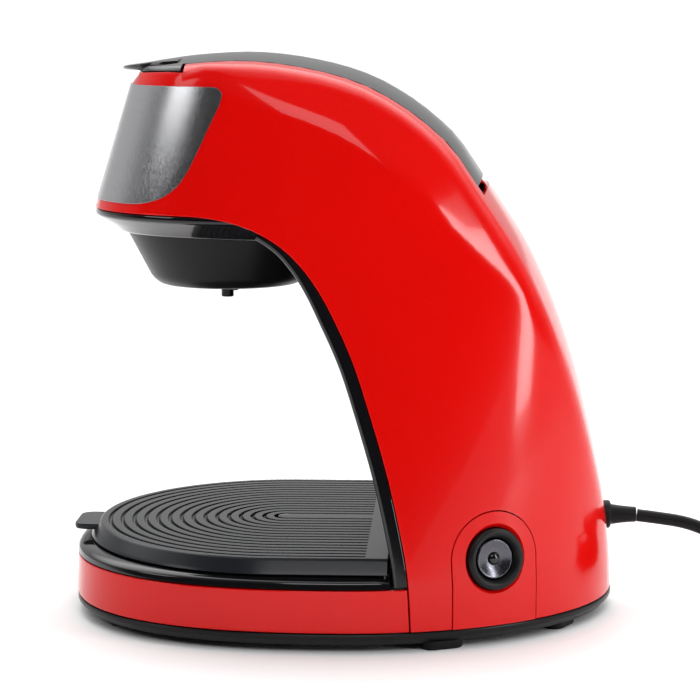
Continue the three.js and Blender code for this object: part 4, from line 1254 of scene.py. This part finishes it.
# ------------------------------------------------------------------ cord
def cord_line():
    """Centre line of the whole cord: down from the exit, along the table, round the coil, to the plug."""
    route = Spline([
        (0, 135.5, 41.6), (0, 146, 40.3), (0, 157, 38.5), (0, 167, 35), (0, 176, 29.2), (0, 183, 21.8),
        (0, 190, 14.2), (0, 198, 8), (0.1, 206, 4.3), (0.7, 213, 3.2), (1.9, 221, CORD_LOW),
        (2.8, 230, CORD_LOW), (3.1, COIL[1], CORD_LOW)])
    points = [tuple(route.at(s)) for s in np.linspace(0, 1, 40)]
    for degrees in np.arange(6, 1258, 6):
        inner = ease(degrees, 300, 360) - ease(degrees, 958, 1012)
        last = ease(degrees, 1150, 1258)
        radius = COIL_OUTER - 6.1 * inner - (COIL_OUTER - COIL_RADIUS) * last
        height = CORD_LOW + 5.95 * ease(degrees, 630, 700) + 6.3 * last
        t = math.radians(degrees)
        points.append((COIL[0] + radius * math.cos(t), COIL[1] + radius * math.sin(t), height))
    for share in np.linspace(0, 1, 13)[1:]:
        t = math.radians(186 + 84 * share)
        height = COIL_TOP + (PLUG_Z - COIL_TOP) * ease(share, 0, 1)
        x, y = PLUG_END + TAIL_RADIUS * math.cos(t), PLUG_Y + TAIL_RADIUS * (1 + math.sin(t))
        points.append((x, y, height))
    return points


def make_cable(points):
    """The round cable along the cord's centre line."""
    curve = bpy.data.curves.new("mains_cord", "CURVE")
    curve.dimensions = "3D"
    curve.bevel_depth = CORD_RADIUS * MM
    curve.bevel_resolution = 6
    curve.use_fill_caps = True
    spline = curve.splines.new("POLY")
    spline.points.add(len(points) - 1)
    for spot, (x, y, z) in zip(spline.points, points):
        spot.co = (x * MM, (y + SHIFT_Y) * MM, z * MM, 1)
    cord = bpy.data.objects.new("mains_cord", curve)
    bpy.context.scene.collection.objects.link(cord)
    return settle(cord, "housing", "rubber", look("rubber"), "power_cord", "cord_coil", "cord_tail")


def make_sleeve():
    """The sleeve that relieves the cord where it leaves the housing."""
    profile = [(0, -11.9), (8.3, -11.9), (8.3, -5.6), (6.5, -5.6), (6.5, 1.4), (5.9, 2.0), (4.7, 2.4),
               (3.9, 8), (3.5, 13.6), (3.2, 14.0), (0, 14.0)]
    along = Matrix.Translation((0, EXIT_Y, CORD_Z)) @ Matrix.Rotation(-math.pi / 2, 4, "X")
    sleeve = turned("cord_sleeve", fillet(profile, {4: 0.5, 6: 1.2, 7: 4.0, 8: 0.3}, 6), 0, 0, 48, along)
    return settle(sleeve, "housing", "rubber", look("rubber"), "strain_relief")


def make_tie():
    """The band that holds the coil's turns together."""
    tie_y, reach, half = COIL[1] + COIL_RADIUS, 7.8, 2.9
    outer = rounded([(-reach, 0.45), (reach, 0.45), (reach, 13.05), (-reach, 13.05)], 3, 6)
    inner = rounded([(-reach + 1, 1.3), (reach - 1, 1.3), (reach - 1, 12.1), (-reach + 1, 12.1)], 2.4, 6)
    sides = [(outer, -half), (outer, half), (inner, half), (inner, -half), (outer, -half)]
    loops = [[(COIL[0] + x, tie_y + a, b) for a, b in outline] for outline, x in sides]
    tie = skin_solid("tie_band", loops, (False, False))
    round_edges(tie, 0.25, 2, 50)
    return settle(tie, "housing", "rubber", look("rubber"), "cord_tie")


def make_plug():
    """The flat plug with its three grip ribs and two round pins."""
    half = [(-42, -5.5), (-34, -8), (-22, -17.6), (-7, -17.6), (-7, 17.6), (-22, 17.6), (-34, 8), (-42, 5.5)]
    outline = [(x, PLUG_Y + y) for x, y in rounded(half, 5, 6)]
    parts = [slab("plug", outline, PLUG_Z - 6.8, PLUG_Z + 6.8, 2.4)]
    for i in range(3):
        x = -33 + 4 * i
        w = 5.6 + 2.6 * i
        corners = [(x, PLUG_Y - w), (x + 1.6, PLUG_Y - w), (x + 1.6, PLUG_Y + w), (x, PLUG_Y + w)]
        parts.append(slab("grip", rounded(corners, 0.7, 3), PLUG_Z - 6.84, PLUG_Z + 6.84, 0.25))
    plug = join(parts, "mains_plug")
    settle(plug, "housing", "rubber", look("rubber"), "plug_body")
    pieces = [plug]
    profile = fillet([(0, 0.2), (2, 0.2), (2, 17.6), (1.2, 19.3), (0, 19.3)], {2: 0.8, 3: 0.6}, 4)
    for i, y in enumerate((-9.3, 9.3)):
        lie = Matrix.Translation((-7, PLUG_Y + y, PLUG_Z)) @ Matrix.Rotation(math.pi / 2, 4, "Y")
        pin = turned(f"contact_{i + 1}", profile, 0, 0, 32, lie)
        settle(pin, "housing", "chrome", look("chrome"), f"plug_pin_{i + 1}")
        pieces.append(pin)
    return pieces


def make_cord():
    """The mains cord with its sleeve, tie and plug."""
    points = cord_line()
    cord = make_cable(points)
    sleeve = make_sleeve()
    tie = make_tie()
    pins = make_plug()


# ------------------------------------------------------------------ what shows when the lid is up
def dress_inside():
    """Gives every inner piece the finish of its slot; inner steel is polished, not brushed."""
    slots = {part["node"]: part["material_slot"] for part in frame["record"]["subparts"]}
    for name, obj in frame["nodes"].items():
        slot = slots[name]
        obj.data.materials.clear()
        obj.data.materials.append(look("chrome" if slot == "steel" else slot))


# ------------------------------------------------------------------ stage
def make_camera(settings):
    """Camera on a circle round its aim."""
    camera = bpy.data.cameras.new("Studio camera")
    camera.lens, camera.sensor_width = settings.lens, 36.0
    view = bpy.data.objects.new("Studio camera", camera)
    bpy.context.scene.collection.objects.link(view)
    azimuth, height = settings.azimuth, settings.elevation
    level = math.cos(height)
    back = Vector((math.sin(azimuth) * level, -math.cos(azimuth) * level, math.sin(height)))
    view.location = Vector(CAMERA_AIM) + back * settings.distance
    view.rotation_mode = "QUATERNION"
    view.rotation_quaternion = (-back).to_track_quat("-Z", "Y")
    camera.clip_start, camera.clip_end = 0.05, 200
    bpy.context.scene.camera = view


def make_floor(settings):
    """A wide pale sheet at table height."""
    r = FLOOR_REACH
    mesh = bpy.data.meshes.new("floor")
    mesh.from_pydata([(-r, -r, 0), (r, -r, 0), (r, r, 0), (-r, r, 0)], [], [(0, 1, 2, 3)])
    floor = bpy.data.objects.new("floor", mesh)
    bpy.context.scene.collection.objects.link(floor)
    colour = tuple(settings.floor_colour)
    mesh.materials.append(moulded("Pale studio floor", colour, 0.7, 0.01, 0.02, 60.0, 0.0))


def make_world(settings):
    """Even light that is strong behind the machine, weak on the camera's side and dim near the horizon."""
    world = bpy.data.worlds.new("Studio")
    world.use_nodes = True
    nodes, links = world.node_tree.nodes, world.node_tree.links
    nodes["Background"].inputs["Color"].default_value = (1, 1, 1, 1)
    place = nodes.new("ShaderNodeTexCoord")
    split = nodes.new("ShaderNodeSeparateXYZ")
    fall = nodes.new("ShaderNodeMapRange")
    fall.interpolation_type = "SMOOTHSTEP"
    for socket, value in (("From Min", -0.45), ("From Max", 0.30), ("To Min", settings.backdrop),
                          ("To Max", settings.fill)):
        fall.inputs[socket].default_value = value
    sky = nodes.new("ShaderNodeValToRGB")
    steps = sky.color_ramp.elements
    steps[0].position, steps[1].position = 0.0, 0.62
    steps[0].color = (0.38, 0.38, 0.38, 1)
    for height, share in ((0.025, 0.38), (0.05, 0.2), (0.38, 0.22)):
        steps.new(height).color = (share, share, share, 1)
    both = nodes.new("ShaderNodeMath")
    both.operation = "MULTIPLY"
    links.new(split.outputs["Z"], sky.inputs["Fac"])
    links.new(sky.outputs["Color"], both.inputs[1])
    links.new(place.outputs["Generated"], split.inputs["Vector"])
    links.new(split.outputs["X"], fall.inputs["Value"])
    links.new(fall.outputs["Result"], both.inputs[0])
    links.new(both.outputs["Value"], nodes["Background"].inputs["Strength"])
    bpy.context.scene.world = world


# Soft boxes: name, place, aim, width, height (all metres) and power in watts.
LAMPS = [
    ("Overhead box", (-0.15, -0.1, 1.25), (0, -0.02, 0.15), 1.0, 1.0, 1.8),
    ("Rear side box", (0.50, 1.05, 0.38), (0, 0.06, 0.12), 0.14, 0.66, 4.6),
    ("Front side box", (0.55, -1.30, 0.9), (0, -0.05, 0.15), 0.5, 0.5, 2.6),
    ("Camera fill", (1.25, 0.1, 1.35), (0, 0, 0.1), 0.9, 0.9, 9.0),
]


def make_lamps(settings):
    """The soft boxes, each turned to its aim."""
    for name, place, aim, width, tall, power in LAMPS:
        data = bpy.data.lights.new(name, "AREA")
        data.shape, data.size, data.size_y = "RECTANGLE", width, tall
        data.energy = power * settings.light
        lamp = bpy.data.objects.new(name, data)
        lamp.location = place
        lamp.rotation_mode = "QUATERNION"
        lamp.rotation_quaternion = (Vector(aim) - Vector(place)).to_track_quat("-Z", "Y")
        bpy.context.scene.collection.objects.link(lamp)


def make_stage():
    """Camera, floor, world and soft boxes."""
    settings = bpy.context.scene.coffee_stage
    make_camera(settings)
    make_floor(settings)
    make_world(settings)
    make_lamps(settings)
    bpy.context.scene.view_settings.view_transform = "Standard"


# ------------------------------------------------------------------ settings, operators and panel
class CoffeeSizes(bpy.types.PropertyGroup):
    """Sizes that several pieces share."""
    wall: bpy.props.FloatProperty(
        name="Wall", description="Thickness of the moulded red shell", default=0.0024, min=0.001, max=0.004,
        unit="LENGTH")
    seam: bpy.props.FloatProperty(
        name="Seam", description="Half of the shadow line between two pieces of the shell", default=0.00028,
        min=0.0001, max=0.001, unit="LENGTH")


class CoffeeFinish(bpy.types.PropertyGroup):
    """Colours and gloss of the visible pieces."""
    shell_red: bpy.props.FloatVectorProperty(
        name="Shell red", description="Colour of the moulded shell", subtype="COLOR",
        size=3, min=0, max=1, default=(0.66, 0.0025, 0.0015))
    shell_roughness: bpy.props.FloatProperty(
        name="Shell roughness", description="Roughness of the shell's surface", subtype="FACTOR",
        min=0, max=1, default=0.12)
    gloss_black: bpy.props.FloatVectorProperty(
        name="Gloss black", description="Colour of the gloss black pieces", subtype="COLOR",
        size=3, min=0, max=1, default=(0.004, 0.004, 0.005))
    satin_black: bpy.props.FloatVectorProperty(
        name="Satin black", description="Colour of the satin black pieces", subtype="COLOR",
        size=3, min=0, max=1, default=(0.006, 0.006, 0.007))
    lid_black: bpy.props.FloatVectorProperty(
        name="Lid black", description="Colour of the lid's satin top", subtype="COLOR",
        size=3, min=0, max=1, default=(0.009, 0.009, 0.012))
    grate_black: bpy.props.FloatVectorProperty(
        name="Grate black", description="Colour of the cup grate", subtype="COLOR",
        size=3, min=0, max=1, default=(0.010, 0.011, 0.014))
    cord_black: bpy.props.FloatVectorProperty(
        name="Cord black", description="Colour of the cord, the plug and the feet", subtype="COLOR",
        size=3, min=0, max=1, default=(0.006, 0.006, 0.007))
    plate_steel: bpy.props.FloatVectorProperty(
        name="Plate steel", description="Colour of the brushed front plate", subtype="COLOR",
        size=3, min=0, max=1, default=(0.50, 0.50, 0.515))
    button_metal: bpy.props.FloatVectorProperty(
        name="Button metal", description="Colour of the dished push button", subtype="COLOR",
        size=3, min=0, max=1, default=(0.10, 0.10, 0.115))


class CoffeeStage(bpy.types.PropertyGroup):
    """Camera, floor and light."""
    lens: bpy.props.FloatProperty(
        name="Lens", description="Focal length on a 36 mm sensor, in millimetres", default=123.4, min=20,
        max=300)
    distance: bpy.props.FloatProperty(
        name="Distance", description="From the camera to its aim", default=1.108, min=0.3, max=5,
        unit="LENGTH")
    azimuth: bpy.props.FloatProperty(
        name="Azimuth", description="Turn of the camera round the machine", default=math.radians(92.8),
        subtype="ANGLE")
    elevation: bpy.props.FloatProperty(
        name="Elevation", description="Height of the camera over the horizon", default=math.radians(8.27),
        subtype="ANGLE")
    floor_colour: bpy.props.FloatVectorProperty(
        name="Floor", description="Colour of the studio floor", subtype="COLOR", size=3, min=0, max=1,
        default=(0.94, 0.94, 0.94))
    fill: bpy.props.FloatProperty(
        name="Fill", description="Strength of the even light from the camera's side", default=0.15, min=0,
        max=5)
    backdrop: bpy.props.FloatProperty(
        name="Backdrop", description="Strength of the even light from behind the machine", default=3.0, min=0,
        max=10)
    light: bpy.props.FloatProperty(
        name="Lamps", description="Share of the soft boxes' full power", default=1.0, min=0, max=10)


class COFFEE_OT_stage(bpy.types.Operator):
    """Make the camera, the floor and the soft boxes"""
    bl_idname = "coffee.stage"
    bl_label = "Stage"
    bl_options = {"REGISTER", "UNDO"}

    def execute(self, context):
        make_stage()
        return {"FINISHED"}


class COFFEE_OT_cord(bpy.types.Operator):
    """Make the mains cord with its sleeve, coil, tie and plug"""
    bl_idname = "coffee.cord"
    bl_label = "Cord"
    bl_options = {"REGISTER", "UNDO"}

    def execute(self, context):
        make_cord()
        return {"FINISHED"}


class COFFEE_OT_inside(bpy.types.Operator):
    """Give the inner pieces their finishes"""
    bl_idname = "coffee.inside"
    bl_label = "Inner pieces"
    bl_options = {"REGISTER", "UNDO"}

    def execute(self, context):
        dress_inside()
        return {"FINISHED"}


class COFFEE_OT_housing(bpy.types.Operator):
    """Make the red shell"""
    bl_idname = "coffee.housing"
    bl_label = "Housing"
    bl_options = {"REGISTER", "UNDO"}

    def execute(self, context):
        make_housing()
        return {"FINISHED"}


class COFFEE_OT_lid(bpy.types.Operator):
    """Make the black lid with its lip and lugs"""
    bl_idname = "coffee.lid"
    bl_label = "Lid"
    bl_options = {"REGISTER", "UNDO"}

    def execute(self, context):
        make_lid()
        return {"FINISHED"}


class COFFEE_OT_plate(bpy.types.Operator):
    """Make the brushed steel plate"""
    bl_idname = "coffee.plate"
    bl_label = "Front plate"
    bl_options = {"REGISTER", "UNDO"}

    def execute(self, context):
        make_plate()
        return {"FINISHED"}


class COFFEE_OT_spine(bpy.types.Operator):
    """Make the gloss black inner panel"""
    bl_idname = "coffee.spine"
    bl_label = "Spine and pan"
    bl_options = {"REGISTER", "UNDO"}

    def execute(self, context):
        make_spine()
        return {"FINISHED"}


class COFFEE_OT_base(bpy.types.Operator):
    """Make the rim, the red skirt and the feet"""
    bl_idname = "coffee.base"
    bl_label = "Base"
    bl_options = {"REGISTER", "UNDO"}

    def execute(self, context):
        make_base()
        return {"FINISHED"}


class COFFEE_OT_tray(bpy.types.Operator):
    """Make the ledge and bowl under the grate"""
    bl_idname = "coffee.tray"
    bl_label = "Tray"
    bl_options = {"REGISTER", "UNDO"}

    def execute(self, context):
        make_tray()
        return {"FINISHED"}


class COFFEE_OT_grate(bpy.types.Operator):
    """Make the grooved cup grate with its finger tab"""
    bl_idname = "coffee.grate"
    bl_label = "Cup grate"
    bl_options = {"REGISTER", "UNDO"}

    def execute(self, context):
        make_grate()
        return {"FINISHED"}


class COFFEE_OT_funnel(bpy.types.Operator):
    """Make the funnel and its two outlets"""
    bl_idname = "coffee.funnel"
    bl_label = "Brew funnel"
    bl_options = {"REGISTER", "UNDO"}

    def execute(self, context):
        make_funnel()
        return {"FINISHED"}


class COFFEE_OT_switch(bpy.types.Operator):
    """Make the insert, bezel and push button"""
    bl_idname = "coffee.switch"
    bl_label = "Switch"
    bl_options = {"REGISTER", "UNDO"}

    def execute(self, context):
        make_switch()
        return {"FINISHED"}


# In the order that main() runs them.
OPERATORS = [
    COFFEE_OT_stage, COFFEE_OT_cord, COFFEE_OT_inside, COFFEE_OT_housing,
    COFFEE_OT_lid, COFFEE_OT_plate, COFFEE_OT_spine, COFFEE_OT_base,
    COFFEE_OT_tray, COFFEE_OT_grate, COFFEE_OT_funnel, COFFEE_OT_switch,
]


class COFFEE_PT_maker(bpy.types.Panel):
    """Lists the settings and the making steps in the sidebar."""
    bl_label = "Coffee Maker"
    bl_idname = "COFFEE_PT_maker"
    bl_space_type = "VIEW_3D"
    bl_region_type = "UI"
    bl_category = "Coffee Maker"

    def draw(self, context):
        scene = context.scene
        for group in (scene.coffee_sizes, scene.coffee_finish, scene.coffee_stage):
            box = self.layout.box()
            for name in group.__annotations__:
                box.prop(group, name)
        for step in OPERATORS:
            self.layout.operator(step.bl_idname)


CLASSES = [CoffeeSizes, CoffeeFinish, CoffeeStage, *OPERATORS, COFFEE_PT_maker]


def register():
    """Adds the settings, the operators and the panel."""
    for cls in CLASSES:
        bpy.utils.register_class(cls)
    bpy.types.Scene.coffee_sizes = bpy.props.PointerProperty(type=CoffeeSizes)
    bpy.types.Scene.coffee_finish = bpy.props.PointerProperty(type=CoffeeFinish)
    bpy.types.Scene.coffee_stage = bpy.props.PointerProperty(type=CoffeeStage)


def unregister():
    """Removes what register() added."""
    del bpy.types.Scene.coffee_stage
    del bpy.types.Scene.coffee_finish
    del bpy.types.Scene.coffee_sizes
    for cls in reversed(CLASSES):
        bpy.utils.unregister_class(cls)


def main():
    """Makes everything in order."""
    register()
    for step in OPERATORS:
        getattr(bpy.ops.coffee, step.bl_idname.split(".")[1])()


if __name__ == "__main__":
    main()
